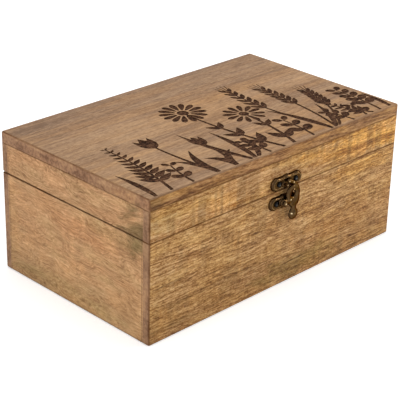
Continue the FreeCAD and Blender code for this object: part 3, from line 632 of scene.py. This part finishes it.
def nailTree():  # dome-headed nails, one at each point, heads to the front
    tree, put, given, close = newTree("dome nails", [
        ("Points", "geometry"), ("Head radius", "size"), ("Head height", "size"), ("Shank radius", "size"),
        ("Shank length", "size"), ("Finish", "finish")])
    ball = put("GeometryNodeMeshUVSphere", nailSides["head"], nailSides["rings"], 1.0)
    radius, rise = given["Head radius"], given["Head height"]
    squeeze = put("ShaderNodeCombineXYZ", radius, radius, rise).outputs[0]
    head = put("GeometryNodeTransform", ball.outputs[0])
    tree.links.new(squeeze, head.inputs["Scale"])
    length = given["Shank length"]
    shank = put("GeometryNodeMeshCylinder", nailSides["shank"], 1, 1, given["Shank radius"], length)
    sink = put("ShaderNodeMath", length, -0.5, operation="MULTIPLY").outputs[0]
    drop = put("ShaderNodeCombineXYZ", 0.0, 0.0, sink).outputs[0]
    body = put("GeometryNodeTransform", shank.outputs[0])
    tree.links.new(drop, body.inputs["Translation"])
    both = put("GeometryNodeJoinGeometry")
    tree.links.new(head.outputs[0], both.inputs[0])
    tree.links.new(body.outputs[0], both.inputs[0])
    turn = put("FunctionNodeEulerToRotation", (math.pi / 2, 0.0, 0.0)).outputs[0]
    nails = put("GeometryNodeInstanceOnPoints", given["Points"], None, both.outputs[0], None, None, turn)
    close(nails.outputs[0], given["Finish"])
    return tree


leavesAlongStem = leafTree()
petalsRoundEye = petalTree()
domeNails = nailTree()
print("node trees built")


# engraved plants on the top board, in millimetres on the board's face

def ribbon(points, widths):
    left, right = [], []
    for index, point in enumerate(points):
        before = points[max(index - 1, 0)]
        after = points[min(index + 1, len(points) - 1)]
        run = Vector((after[0] - before[0], after[1] - before[1])).normalized()
        side = Vector((-run.y, run.x)) * widths[index] / 2
        left.append((point[0] + side.x, point[1] + side.y))
        right.append((point[0] - side.x, point[1] - side.y))
    return left + right[::-1]


def stemLine(base, tip, bow, steps=14):
    start, end = Vector(base), Vector(tip)
    side = Vector((end.y - start.y, start.x - end.x)).normalized()
    middle = (start + end) / 2 + side * bow
    line = []
    for step in range(steps + 1):
        t = step / steps
        point = start * (1 - t) ** 2 + middle * 2 * t * (1 - t) + end * t ** 2
        line.append((point.x, point.y))
    return line


def onward(line, reach):  # the line, led on past its tip
    end, before = Vector(line[-1]), Vector(line[-2])
    return line + [tuple(end + (end - before).normalized() * reach)]


def taper(count, first, last, belly=0.0):
    shares = [index / (count - 1) for index in range(count)]
    return [first + (last - first) * t + belly * math.sin(math.pi * t) for t in shares]


leafHalf = {  # half width of a leaf of length 1, at the share t of its length
    "pointed": lambda t: 0.20 * math.sin(math.pi * t ** 0.75),
    "grain": lambda t: 0.17 * math.sin(math.pi * t) ** 0.8,
    "petal": lambda t: 0.05 + 0.13 * math.sin(math.pi * min(t, 0.97) ** 1.7) ** 0.7,
    "round": lambda t: 0.27 * max(0.0, 1 - ((t - 0.58) / 0.42) ** 2) ** 0.5 + 0.02 * (1 - t),
}


def leafOutline(half, steps=9):  # along X
    upper = [(step / steps, half(step / steps)) for step in range(1, steps)]
    return [(0.0, 0.0)] + [(a, -b) for a, b in upper] + [(1.0, 0.0)] + upper[::-1]


def flatShape(name, outline):
    mesh = bpy.data.meshes.new(name)
    mesh.from_pydata([(a, b, 0) for a, b in outline], [], [list(range(len(outline)))])
    shape = bpy.data.objects.new(name, mesh)
    scene.collection.objects.link(shape)
    return shape


def curveShape(line):
    curve = bpy.data.curves.new("stem", "CURVE")
    curve.dimensions = "3D"
    spline = curve.splines.new("POLY")
    spline.points.add(len(line) - 1)
    for point, (a, b) in zip(spline.points, line):
        point.co = (a, b, 0, 1)
    shape = bpy.data.objects.new("stem", curve)
    scene.collection.objects.link(shape)
    return shape


def outlinesOf(mesh, shift=(0, 0)):
    shapes = [[(mesh.vertices[i].co.x + shift[0], mesh.vertices[i].co.y + shift[1]) for i in face.vertices]
              for face in mesh.polygons]
    bpy.data.meshes.remove(mesh)
    return shapes


leafShapes = {kind: flatShape(kind + " leaf", leafOutline(half)) for kind, half in leafHalf.items()}


def leaves(line, kind, pairs, start, first, last, spread):
    stem = curveShape(line)
    mesh = runTree(leavesAlongStem, bpy.data.meshes.new("leaves"), {
        "Stem": stem, "Leaf": leafShapes[kind], "Pairs": pairs, "From": start, "First size": first,
        "Last size": last, "Spread": math.radians(spread), "Finish": burnt})
    bpy.data.objects.remove(stem)
    return outlinesOf(mesh)


# sizes in mm, spreads in degrees, "from" is the share of the stem below the first leaves
fernForm = {"stem": (2.6, 0.9), "from": 0.2, "lastLeaf": 4.0, "spread": 56}
wheatForm = {"stem": (2.4, 1.3), "from": 0.60, "pairs": 6, "leaf": (12.0, 10.0), "spread": 32,
             "beard": (-0.35, -0.12, 0.12, 0.35), "beardFrom": 4, "beardReach": 15, "beardWidths": [1.3, 0.5],
             "bladeBow": 6, "bladeWide": 4.6}
bladeForm = {"foot": 0.6, "tip": 0.3, "belly": 0.6}
daisyForm = {"stem": (3.0, 1.6), "leafy": 9, "from": 0.3, "leaf": (17, 12), "spread": 38,
             "eyeGap": 0.9, "eyeSides": 20}
tulipForm = {"stem": (2.8, 1.7), "bladeBow": 7, "bladeWide": 6.0,
             "cup": [(0, -0.6), (3.2, 1.6), (4.9, 5.0), (5.0, 8.8), (4.4, 12.6), (2.5, 9.6), (0, 13.8),
                     (-2.5, 9.6), (-4.4, 12.6), (-5.0, 8.8), (-4.9, 5.0), (-3.2, 1.6)]}
sprigForm = {"stem": (2.2, 1.1), "onward": 0.8, "from": 0.3, "lastLeaf": 0.7, "spread": 48}


def plantLine(plant):
    return stemLine(plant["base"], plant["tip"], plant["bow"])


def fern(plant):
    line = plantLine(plant)
    stem = ribbon(line, taper(len(line), *fernForm["stem"]))
    return [stem] + leaves(line, "pointed", plant["pairs"], fernForm["from"], plant["leaf"],
                           fernForm["lastLeaf"], fernForm["spread"])


def wheat(plant):
    line, form = plantLine(plant), wheatForm
    shapes = [ribbon(line, taper(len(line), *form["stem"]))]
    shapes += leaves(line, "grain", form["pairs"], form["from"], *form["leaf"], form["spread"])
    end, before = Vector(line[-1]), Vector(line[-2])
    heading = (end - before).normalized()
    start = tuple(end - heading * form["beardFrom"])
    for lean in form["beard"]:
        way = Vector((heading.x * math.cos(lean) - heading.y * math.sin(lean),
                      heading.x * math.sin(lean) + heading.y * math.cos(lean)))
        shapes.append(ribbon([start, tuple(end + way * form["beardReach"])], form["beardWidths"]))
    for side in plant["blades"]:
        shapes += blade({**plant, "tip": side, "bow": form["bladeBow"], "wide": form["bladeWide"]})
    return shapes


def blade(plant):
    line, form, wide = plantLine(plant), bladeForm, plant["wide"]
    return [ribbon(line, taper(len(line), wide * form["foot"], form["tip"], wide * form["belly"]))]


def daisy(plant):
    line, form, eye = plantLine(plant), daisyForm, plant["eye"]
    x, y = plant["tip"]
    shapes = [ribbon(line, taper(len(line), *form["stem"]))]
    leafy = line[:form["leafy"]]
    shapes += leaves(leafy, "pointed", plant["pairs"], form["from"], *form["leaf"], form["spread"])
    mesh = runTree(petalsRoundEye, bpy.data.meshes.new("petals"), {
        "Petal": leafShapes["petal"], "Petals": plant["petals"], "Eye radius": eye + form["eyeGap"],
        "Petal size": plant["petal"], "Finish": burnt})
    shapes += outlinesOf(mesh, plant["tip"])
    angles = [math.tau * index / form["eyeSides"] for index in range(form["eyeSides"])]
    shapes.append([(x + eye * math.cos(a), y + eye * math.sin(a)) for a in angles])
    return shapes


def tulip(plant):
    line, form = plantLine(plant), tulipForm
    shapes = [ribbon(line, taper(len(line), *form["stem"]))]
    tip, before = Vector(line[-1]), Vector(line[-2])
    up = (tip - before).normalized()
    out = Vector((up.y, -up.x))
    shapes.append([tuple(tip + (out * a + up * b) * plant["size"]) for a, b in form["cup"]])
    for side in plant["blades"]:
        bow = form["bladeBow"] if side[0] < plant["base"][0] else -form["bladeBow"]
        shapes += blade({**plant, "tip": side, "bow": bow, "wide": form["bladeWide"]})
    return shapes


def sprig(plant):
    line, form = plantLine(plant), sprigForm
    stem = onward(line, form["onward"])
    shapes = [ribbon(stem, taper(len(stem), *form["stem"]))]
    return shapes + leaves(line, "round", plant["pairs"], form["from"], plant["leaf"],
                           plant["leaf"] * form["lastLeaf"], form["spread"])


garden = [
    (fern, {"base": (-104, -74), "tip": (-94, 2), "bow": 6, "pairs": 11, "leaf": 15}),
    (blade, {"base": (-118, -74), "tip": (-117, -34), "bow": 3, "wide": 4.6}),
    (sprig, {"base": (-85, -74), "tip": (-79, -46), "bow": -2, "pairs": 3, "leaf": 10}),
    (tulip, {"base": (-62, -74), "tip": (-66, -18), "bow": -3, "size": 1.4,
             "blades": [(-73, -44), (-53, -36)]}),
    (tulip, {"base": (-45, -74), "tip": (-37, -36), "bow": 3, "size": 1.15,
             "blades": [(-54, -52), (-30, -52)]}),
    (blade, {"base": (-30, -74), "tip": (-40, -10), "bow": -5, "wide": 4.8}),
    (blade, {"base": (-27, -74), "tip": (-20, -22), "bow": 5, "wide": 5.0}),
    (blade, {"base": (-24, -74), "tip": (-8, -44), "bow": 5, "wide": 4.6}),
    (daisy, {"base": (2, -74), "tip": (-8, 16), "bow": -8, "pairs": 3,
             "petals": 14, "eye": 4.4, "petal": 13.0}),
    (daisy, {"base": (12, -74), "tip": (24, -14), "bow": 5, "pairs": 2,
             "petals": 12, "eye": 3.8, "petal": 11.5}),
    (sprig, {"base": (32, -74), "tip": (36, -42), "bow": 2, "pairs": 3, "leaf": 13}),
    (wheat, {"base": (52, -74), "tip": (47, 22), "bow": -9, "blades": [(40, -20)]}),
    (wheat, {"base": (56, -74), "tip": (70, 8), "bow": 7, "blades": [(78, -34)]}),
    (wheat, {"base": (60, -74), "tip": (92, -16), "bow": 10, "blades": []}),
    (fern, {"base": (98, -74), "tip": (84, -38), "bow": -5, "pairs": 7, "leaf": 11}),
    (sprig, {"base": (106, -74), "tip": (111, -28), "bow": 3, "pairs": 5, "leaf": 13}),
    (blade, {"base": (117, -74), "tip": (121, -42), "bow": 2, "wide": 4.4}),
    (sprig, {"base": (90, -74), "tip": (95, -56), "bow": 1, "pairs": 2, "leaf": 11}),
    (sprig, {"base": (76, -74), "tip": (72, -52), "bow": 1, "pairs": 3, "leaf": 11}),
    (sprig, {"base": (-12, -74), "tip": (-14, -50), "bow": 1, "pairs": 3, "leaf": 11}),
]
engraved = [shape for grow, plant in garden for shape in grow(plant)]
for shape in leafShapes.values():
    bpy.data.objects.remove(shape)
print("engraving drawn,", len(engraved), "outlines")


def addPiece(name, mesh, body, slot, *replaced):
    piece = bpy.data.objects.new(name, mesh)
    scene.collection.objects.link(piece)
    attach(piece, body)
    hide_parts(*replaced)
    return piece


def finishedMesh(name, work, sharp, *finishes):  # from millimetres to a smooth mesh in metres
    bmesh.ops.scale(work, vec=(0.001, 0.001, 0.001), verts=work.verts)
    bmesh.ops.recalc_face_normals(work, faces=work.faces)
    mesh = bpy.data.meshes.new(name)
    work.to_mesh(mesh)
    work.free()
    for finish in finishes:
        mesh.materials.append(finish)
    mesh.shade_smooth()
    mesh.set_sharp_from_angle(angle=math.radians(sharp))
    return mesh


# mm, steps of the rounding, share of the rounding that has the face's finish, and degrees
topBoard = {"round": 1.4, "depth": 0.45, "margin": 0.15, "least": 0.04, "arc": 6, "crest": 0.3, "sharp": 32}


def engravedBoard():
    low, high = [corner * 1000 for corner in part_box("lid_top_board")]
    roundness = topBoard["round"]
    centres = [(high.x - roundness, high.y - roundness, 0), (low.x + roundness, high.y - roundness, 90),
               (low.x + roundness, low.y + roundness, 180), (high.x - roundness, low.y + roundness, 270)]

    def loop(radius):
        points = []
        for cx, cy, first in centres:
            for step in range(topBoard["arc"] + 1):
                angle = math.radians(first + 90 * step / topBoard["arc"])
                points.append((cx + radius * math.cos(angle), cy + radius * math.sin(angle)))
        return points

    levels = [(roundness, low.z), (roundness, high.z - roundness)]
    for step in range(1, topBoard["arc"] + 1):
        angle = math.radians(90 * step / topBoard["arc"])
        radius = max(roundness * math.cos(angle), topBoard["least"])
        levels.append((radius, high.z - roundness + roundness * math.sin(angle)))
    work = bmesh.new()
    rings = [[work.verts.new((a, b, level)) for a, b in loop(radius)] for radius, level in levels]
    for lower, upper in zip(rings, rings[1:]):
        for index in range(len(lower)):
            after = (index + 1) % len(lower)
            side = work.faces.new((lower[index], lower[after], upper[after], upper[index]))
            side.material_index = 2 if upper[index].co.z < high.z - topBoard["crest"] * roundness else 0
    work.faces.new(rings[0][::-1])

    # the face, cut along every outline
    inset = roundness + topBoard["margin"]
    limits = (low.x + inset, high.x - inset, low.y + inset, high.y - inset)
    rim = [tuple(v.co.xy) for v in rings[-1]]
    points, faces = list(rim), [list(range(len(rim)))]
    for shape in engraved:
        start = len(points)
        kept = [(min(max(a, limits[0]), limits[1]), min(max(b, limits[2]), limits[3])) for a, b in shape]
        area = sum(a[0] * b[1] - b[0] * a[1] for a, b in zip(kept, kept[1:] + kept[:1]))
        points += kept if area > 0 else kept[::-1]  # all run anticlockwise
        faces.append(list(range(start, len(points))))
    cut = delaunay_2d_cdt([Vector(p) for p in points], [], faces, 0, 1e-4)
    spots, pieces, spotOrigins, pieceOrigins = cut[0], cut[2], cut[3], cut[5]
    face, floor = {}, {}
    for index, origins in enumerate(spotOrigins):
        known = [origin for origin in origins if origin < len(rim)]
        if known:
            face[index] = rings[-1][known[0]]

    def corner(kept, index, level):
        if index not in kept:
            kept[index] = work.verts.new((spots[index].x, spots[index].y, level))
        return kept[index]

    carvedSides, openSides = {}, {}
    for piece, origins in zip(pieces, pieceOrigins):
        carved = any(origin > 0 for origin in origins)
        kept, level = (floor, high.z - topBoard["depth"]) if carved else (face, high.z)
        made = work.faces.new([corner(kept, index, level) for index in piece])
        made.material_index = 1 if carved else 0
        sides = carvedSides if carved else openSides
        for first, second in zip(piece, piece[1:] + piece[:1]):
            sides[(first, second)] = True
    for first, second in carvedSides:
        if (second, first) in openSides:
            wall = work.faces.new((floor[first], floor[second], face[second], face[first]))
            wall.material_index = 1
    return finishedMesh("engraved_top_board", work, topBoard["sharp"], wood["top"], burnt, wood["topEdge"])


addPiece("engraved_top_board", engravedBoard(), "lid", "top_wood", "lid_top_board")
print("top board engraved")


# latch castings: outlines are distance fields, millimetres from the middle of the front

frontFace = -75.5  # Y of the front boards
latch = {  # mm
    "basePlate": {"x": -1.2, "z": 66.6, "length": 26.0, "grid": (14, 14, 6, 6)},
    "lidPlate": {"x": 2.0, "z": 80.9, "length": 30.0, "grid": (16, 16, 8, 6)},
    "plateHeight": 10.0, "lobeStep": 0.3, "waist": 9.2, "plateBlend": 1.0,
    "flange": 1.0, "crown": 1.4, "border": 1.8, "panel": 0.3,
    "pivot": (-3.1, 66.6), "pivotBoss": 2.7, "pivotBossTop": 3.3,
    "hookBack": 3.4, "hookThick": 2.1,
}
casting = {  # grid in mm, limits as shares of its step, degrees
    "step": 0.3, "inside": 0.55, "near": 0.9, "settle": 4, "nudge": 0.01, "leastSlope": 0.2, "merge": 0.6,
    "skin": 0.012, "sharp": 50,
}


def discField(cx, cz, radius):
    return lambda x, z: np.hypot(x - cx, z - cz) - radius


def barField(x0, z0, x1, z1, radius):
    def field(x, z):
        run = (x1 - x0) ** 2 + (z1 - z0) ** 2
        t = np.clip(((x - x0) * (x1 - x0) + (z - z0) * (z1 - z0)) / run, 0, 1)
        return np.hypot(x - x0 - t * (x1 - x0), z - z0 - t * (z1 - z0)) - radius
    return field


def arcField(cx, cz, orbit, first, last, radius):  # bent bar round a centre, angles from upright
    def field(x, z):
        angle = np.clip(np.degrees(np.arctan2(x - cx, z - cz)), first, last)
        turn = np.radians(angle)
        return np.hypot(x - cx - orbit * np.sin(turn), z - cz - orbit * np.cos(turn)) - radius
    return field


def joinFields(softness, *fields):
    def field(x, z):
        total = fields[0](x, z)
        for other in fields[1:]:
            value = other(x, z)
            share = np.clip(0.5 + 0.5 * (value - total) / softness, 0, 1)
            total = value * (1 - share) + total * share - softness * share * (1 - share)
        return total
    return field


def cutField(body, *tools):
    return lambda x, z: np.maximum.reduce([body(x, z)] + [-tool(x, z) for tool in tools])


def castMesh(name, field, relief, back, middle, grid):
    step, nudge = casting["step"], casting["nudge"]
    left, right, down, up = grid  # how far the grid reaches from the middle
    xs, zs = np.meshgrid(np.arange(middle[0] - left, middle[0] + right + step, step),
                         np.arange(middle[1] - down, middle[1] + up + step, step))
    x, z = xs.ravel(), zs.ravel()
    value = field(x, z)
    inside = value < -casting["inside"] * step
    near = np.abs(value) < casting["near"] * step
    rimX, rimZ = x[near], z[near]
    for turn in range(casting["settle"]):  # settle the rim on the outline
        level = field(rimX, rimZ)
        slopeX = (field(rimX + nudge, rimZ) - field(rimX - nudge, rimZ)) / (2 * nudge)
        slopeZ = (field(rimX, rimZ + nudge) - field(rimX, rimZ - nudge)) / (2 * nudge)
        size = np.maximum(slopeX ** 2 + slopeZ ** 2, casting["leastSlope"])
        rimX, rimZ = rimX - level * slopeX / size, rimZ - level * slopeZ / size
    rim, cell = {}, casting["merge"] * step
    for a, b in zip(rimX, rimZ):
        rim.setdefault((round(a / cell), round(b / cell)), (a, b))
    points = [Vector(p) for p in list(rim.values()) + list(zip(x[inside], z[inside]))]
    cut = delaunay_2d_cdt(points, [], [], 0, 1e-5)
    spots, pieces = cut[0], cut[2]
    spotX, spotZ = np.array([s.x for s in spots]), np.array([s.y for s in spots])
    keep = []
    for piece in pieces:
        centre = np.array([[spotX[i] for i in piece], [spotZ[i] for i in piece]]).mean(1)
        if field(centre[0:1], centre[1:2])[0] < -casting["skin"]:
            keep.append(list(piece))
    depth = np.maximum(-field(spotX, spotZ), 0)
    height, rub = relief(depth, spotX, spotZ)
    work = bmesh.new()
    layer = work.verts.layers.float.new("rub")
    fronts, backs = {}, {}

    def corner(kept, index, level, highlightAndWear):
        if index not in kept:
            kept[index] = work.verts.new((spotX[index], frontFace - level, spotZ[index]))
            kept[index][layer] = highlightAndWear
        return kept[index]

    sides = {}
    for piece in keep:
        work.faces.new([corner(fronts, i, height[i], rub[i]) for i in piece])
        work.faces.new([corner(backs, i, back, 0.0) for i in piece][::-1])
        for first, second in zip(piece, piece[1:] + piece[:1]):
            sides[(first, second)] = True
    for first, second in sides:
        if (second, first) not in sides:
            work.faces.new((fronts[second], fronts[first], backs[first], backs[second]))
    return finishedMesh(name, work, casting["sharp"], bronze)


def quarterRound(depth, reach):  # 0 at the rim, 1 from reach inwards
    t = np.clip(depth / reach, 0, 1)
    return np.sqrt(1 - (1 - t) ** 2)


def plateField(plate):
    x, z = plate["x"], plate["z"]
    radius = latch["plateHeight"] / 2
    offset = plate["length"] / 2 - radius + latch["lobeStep"]
    lobes = [discField(x + side * offset, z, radius - latch["lobeStep"]) for side in (-1, 1)]
    bar = barField(x - offset, z, x + offset, z, latch["waist"] / 2)
    return joinFields(latch["plateBlend"], discField(x, z, radius), *lobes, bar)


plateForm = {  # mm, and how far the panel, its border's crest and the boss are rubbed
    "lip": 0.6, "panelGap": 0.1, "panelSlope": 0.5, "bossRound": 0.6,
    "rub": 0.07, "panelRub": 0.04, "crestRub": 0.58, "crestGap": 0.1, "crestWidth": 0.22, "bossRub": 0.08,
}


def plateRelief(boss, bossRadius, bossTop):
    def relief(depth, x, z):
        form, border = plateForm, latch["border"]
        full = latch["flange"] + latch["crown"]
        height = form["lip"] + (full - form["lip"]) * quarterRound(depth, border)
        sunk = np.clip((depth - border - form["panelGap"]) / form["panelSlope"], 0, 1)
        height = height - latch["panel"] * sunk * sunk * (3 - 2 * sunk)
        crest = np.exp(-((depth - border + form["crestGap"]) / form["crestWidth"]) ** 2)
        rub = form["rub"] - form["panelRub"] * sunk + form["crestRub"] * crest
        away = np.hypot(x - boss[0], z - boss[1])
        swell = full + (bossTop - full) * quarterRound(np.maximum(bossRadius - away, 0), form["bossRound"])
        on = away < bossRadius
        return np.where(on, np.maximum(swell, height), height), np.where(on, form["bossRub"], rub)
    return relief


latheSharp = 45  # degrees


def latheMesh(name, profile, centre, steps=36):  # profile of radius, height in front of the boards, and wear with painted highlight
    work = bmesh.new()
    layer = work.verts.layers.float.new("rub")
    rings = []
    for radius, height, highlightAndWear in profile:
        count = 1 if radius == 0 else steps
        ring = []
        for index in range(count):
            angle = math.tau * index / count
            x, z = centre[0] + radius * math.cos(angle), centre[1] + radius * math.sin(angle)
            vert = work.verts.new((x, frontFace - height, z))
            vert[layer] = highlightAndWear
            ring.append(vert)
        rings.append(ring)
    for lower, upper in zip(rings, rings[1:]):
        for index in range(steps):
            corners = [lower[index % len(lower)], lower[(index + 1) % len(lower)],
                       upper[(index + 1) % len(upper)], upper[index % len(upper)]]
            work.faces.new(list(dict.fromkeys(corners)))
    return finishedMesh(name, work, latheSharp, bronze)


# dome profile whose top is painted bright: partly wear, partly a painted highlight
def domeProfile(radius, foot, rise, steps=7, topHighlight=0.9):
    return [(radius * math.cos(a), foot + rise * math.sin(a), topHighlight * math.sin(a) ** 8)
            for a in [math.pi / 2 * i / steps for i in range(steps)]] + [(0, foot + rise, topHighlight)]


hook = {  # mm from the pivot, angles in degrees from upright
    "eye": 2.8, "arm": 2.2, "round": (9.3, 4.6, 6.8), "heel": (10.7, -0.6, 5.4), "hole": 2.2,
    "noseOrbit": 16.2, "nose": 1.4, "noseAngles": (16.5, 58.7), "noseBlend": 0.25,
    "throatOrbit": 13.4, "throat": 1.4, "throatAngles": (-20, 18.6),
    "tail": (10.6, -11.0, 4.4), "neck": 2.4, "bore": 1.25, "blend": 0.9, "grid": (4, 18, 17, 19),
    "rim": 0.34, "rounding": 4.4, "dome": 0.9, "domeGap": 0.7,  # rim is a share of the thickness
    "rub": 0.05, "crestRub": 0.28, "crest": 1.0, "crestWidth": 0.4, "paintedHighlight": 0.9, "domeRub": 0.30,
    # each spot is a painted highlight: mm from the pivot, and its size
    "spots": [(6.4, 1.0, 0.8), (7.6, -9.9, 0.8), (8.8, 13.6, 0.8), (9.4, 8.2, 0.6), (4.3, 15.3, 0.7)],
}
catch = {"radius": 1.1, "reach": 5.2, "dome": 0.6, "boss": 2.0, "bossTop": 2.9, "under": 0.2, "beside": 0.4,
         "collarRub": 0.3}


def catchPlace():  # under the nose's orbit and just beside its tip
    orbit = hook["noseOrbit"] - hook["nose"] - catch["under"] - catch["radius"]
    tip = hook["noseOrbit"] * math.sin(math.radians(hook["noseAngles"][0])) - hook["nose"]
    side = tip - catch["beside"] - catch["radius"]
    return latch["pivot"][0] + side, latch["pivot"][1] + math.sqrt(orbit ** 2 - side ** 2)


def hookField():
    px, pz = latch["pivot"]
    roundX, roundZ, roundSize = hook["round"]
    heelX, heelZ, heelSize = hook["heel"]
    tailX, tailZ, tailSize = hook["tail"]
    body = joinFields(
        hook["blend"],
        discField(px, pz, hook["eye"]),
        barField(px, pz, px + roundX, pz, hook["arm"]),
        discField(px + roundX, pz + roundZ, roundSize),
        barField(px + heelX, pz + heelZ, px + heelX, pz + roundZ, heelSize),
        barField(px + tailX, pz + tailZ, px + tailX, pz, hook["neck"]),
        discField(px + tailX, pz + tailZ, tailSize))
    throat = arcField(px, pz, hook["throatOrbit"], *hook["throatAngles"], hook["throat"])
    bore, hole = discField(px, pz, hook["bore"]), discField(px + roundX, pz + roundZ, hook["hole"])
    nose = arcField(px, pz, hook["noseOrbit"], *hook["noseAngles"], hook["nose"])
    return joinFields(hook["noseBlend"], cutField(body, throat, bore, hole), nose)


def hookRelief(depth, x, z):
    px, pz = latch["pivot"]
    share = hook["rim"] + (1 - hook["rim"]) * quarterRound(depth, hook["rounding"])
    height = latch["hookBack"] + latch["hookThick"] * share
    rub = hook["rub"] + hook["crestRub"] * np.exp(-((depth - hook["crest"]) / hook["crestWidth"]) ** 2)
    for spotX, spotZ, size in hook["spots"]:  # painted highlights: bright spots where light glints on the hook
        away = np.hypot(x - px - spotX, z - pz - spotZ)
        rub = np.maximum(rub, hook["paintedHighlight"] * np.exp(-(away / size) ** 2))
    tailX, tailZ, tailSize = hook["tail"]
    away = np.hypot(x - px - tailX, z - pz - tailZ)
    swell = np.clip(1 - (away / (tailSize - hook["domeGap"])) ** 2, 0, 1)
    return height + hook["dome"] * swell, np.maximum(rub, hook["domeRub"] * swell ** 2)


rivet = {"shank": 1.2, "head": 2.2, "gap": 0.1, "rim": 0.15, "rise": 0.75, "rimRub": 0.05}


def castLatch():
    stud, pivot = catchPlace(), latch["pivot"]
    basePlate, lidPlate = latch["basePlate"], latch["lidPlate"]
    mesh = castMesh("base_latch_plate", plateField(basePlate),
                    plateRelief(pivot, latch["pivotBoss"], latch["pivotBossTop"]), 0.0,
                    (basePlate["x"], basePlate["z"]), basePlate["grid"])
    addPiece("base_latch_plate", mesh, "base", "antique_brass", "latch_base_plate")
    field = joinFields(latch["plateBlend"], plateField(lidPlate), discField(*stud, catch["boss"]))
    mesh = castMesh("lid_latch_plate", field, plateRelief(stud, catch["boss"], catch["bossTop"]), 0.0,
                    (lidPlate["x"], lidPlate["z"]), lidPlate["grid"])
    addPiece("lid_latch_plate", mesh, "lid", "antique_brass", "latch_lid_plate")
    mesh = castMesh("swing_hook", hookField(), hookRelief, latch["hookBack"], pivot, hook["grid"])
    addPiece("swing_hook", mesh, "hook", "antique_brass", "latch_hook")

    shank, head = rivet["shank"], rivet["head"]
    under = latch["hookBack"] + latch["hookThick"] + rivet["gap"]
    profile = [(0, 0, 0), (shank, 0, 0), (shank, under, 0), (head, under, rivet["rimRub"])]
    profile += domeProfile(head, under + rivet["rim"], rivet["rise"])
    mesh = latheMesh("pivot_rivet", profile, pivot)
    addPiece("pivot_rivet", mesh, "base", "antique_brass", "latch_pivot_rivet")
    radius, reach = catch["radius"], catch["reach"]
    profile = [(0, 0, 0), (radius, 0, 0), (radius, reach, catch["collarRub"])]
    profile += domeProfile(radius, reach, catch["dome"])[1:]
    mesh = latheMesh("catch_stud", profile, stud)
    addPiece("catch_stud", mesh, "lid", "antique_brass", "latch_catch_stud")


castLatch()

nail = {"headRadius": 2.0, "headHeight": 0.8, "shank": 0.6, "bite": 4.5, "basePitch": 14.6, "lidPitch": 17.0,
        "rub": 0.4, "sharp": 50}


def latchNails(name, plate, pitch, body, replaced):
    face = frontFace - latch["flange"] - latch["crown"]
    spots = [((plate["x"] + side * pitch / 2) / 1000, face / 1000, plate["z"] / 1000) for side in (-1, 1)]
    points = bpy.data.meshes.new("nail places")
    points.from_pydata(spots, [], [])
    length = nail["bite"] + latch["flange"] + latch["crown"]
    mesh = runTree(domeNails, points, {
        "Head radius": nail["headRadius"] / 1000, "Head height": nail["headHeight"] / 1000,
        "Shank radius": nail["shank"] / 1000, "Shank length": length / 1000, "Finish": nailBronze})
    # the top of each nail head is painted bright: partly wear, partly a painted highlight
    highlightAndWear = mesh.attributes.new("rub", "FLOAT", "POINT")
    for vert, value in zip(mesh.vertices, highlightAndWear.data):
        rise = (face / 1000 - vert.co.y) * 1000 / nail["headHeight"]
        value.value = max(0.0, rise) ** 3 * nail["rub"]
    mesh.shade_smooth()
    mesh.set_sharp_from_angle(angle=math.radians(nail["sharp"]))
    addPiece(name, mesh, body, "antique_brass", replaced)


latchNails("base_plate_nails", latch["basePlate"], nail["basePitch"], "base", "latch_base_nails")
latchNails("lid_plate_nails", latch["lidPlate"], nail["lidPitch"], "lid", "latch_lid_nails")
print("latch cast")


# floor and light

studio = {"floorSize": 3.0, "floorTone": (0.93, 0.93, 0.93, 1), "floorRough": 0.9,
          "ambient": 0.52, "lift": 0.35, "farLift": 0.6, "fade": (400, 1200),  # fade in mm from the box
          "aim": (0, 0, 0.05)}
lamps = [
    {"name": "key", "place": (1.2, -0.8, 0.5), "size": 0.35, "power": 9.8},
    {"name": "fill", "place": (-1.2, -0.2, 0.7), "size": 0.9, "power": 5.6},
    {"name": "above", "place": (0.0, 0.2, 1.6), "size": 1.2, "power": 8.0},
]


def sightRays(tree):  # 1 for rays from the camera, off a gloss or through glass
    rays = tree.nodes.new("ShaderNodeLightPath").outputs
    share = rays["Is Camera Ray"]
    for kind in ("Is Glossy Ray", "Is Transmission Ray"):
        larger = tree.nodes.new("ShaderNodeMath")
        larger.operation = "MAXIMUM"
        tree.links.new(share, larger.inputs[0])
        tree.links.new(rays[kind], larger.inputs[1])
        share = larger.outputs[0]
    return share


def paleFloor():
    mesh = bpy.data.meshes.new("pale_floor")
    half = studio["floorSize"]
    corners = [(-half, -half, 0), (half, -half, 0), (half, half, 0), (-half, half, 0)]
    mesh.from_pydata(corners, [], [(0, 1, 2, 3)])
    f = Finish("pale floor")
    f.shader.inputs["Base Color"].default_value = studio["floorTone"]
    f.shader.inputs["Roughness"].default_value = studio["floorRough"]
    away = f.put("ShaderNodeVectorMath", f.position()[0], operation="LENGTH").outputs["Value"]
    lift = f.span(away, *studio["fade"], studio["lift"], studio["farLift"])
    glow = f.put("ShaderNodeEmission", (1, 1, 1, 1), f.calc("MULTIPLY", sightRays(f.tree), lift))
    both = f.put("ShaderNodeAddShader", f.shader.outputs[0], glow.outputs[0])
    f.tree.links.new(both.outputs[0], f.tree.nodes["Material Output"].inputs[0])
    mesh.materials.append(f.material)
    floor = bpy.data.objects.new("pale_floor", mesh)
    scene.collection.objects.link(floor)


def softLight():
    world = bpy.data.worlds.new("studio")
    scene.world = world
    world.use_nodes = True
    tree = world.node_tree
    back = tree.nodes["Background"]
    level = tree.nodes.new("ShaderNodeMapRange")
    level.inputs["To Min"].default_value = studio["ambient"]
    tree.links.new(sightRays(tree), level.inputs["Value"])
    tree.links.new(level.outputs[0], back.inputs["Strength"])
    back.inputs["Color"].default_value = (1, 1, 1, 1)
    for lamp in lamps:
        light = bpy.data.lights.new(lamp["name"], "AREA")
        light.size = lamp["size"]
        light.energy = lamp["power"]
        thing = bpy.data.objects.new(lamp["name"], light)
        thing.location = lamp["place"]
        aim = Vector(studio["aim"]) - Vector(lamp["place"])
        thing.rotation_euler = aim.to_track_quat("-Z", "Y").to_euler()
        scene.collection.objects.link(thing)


paleFloor()
softLight()
print("floor and light set")
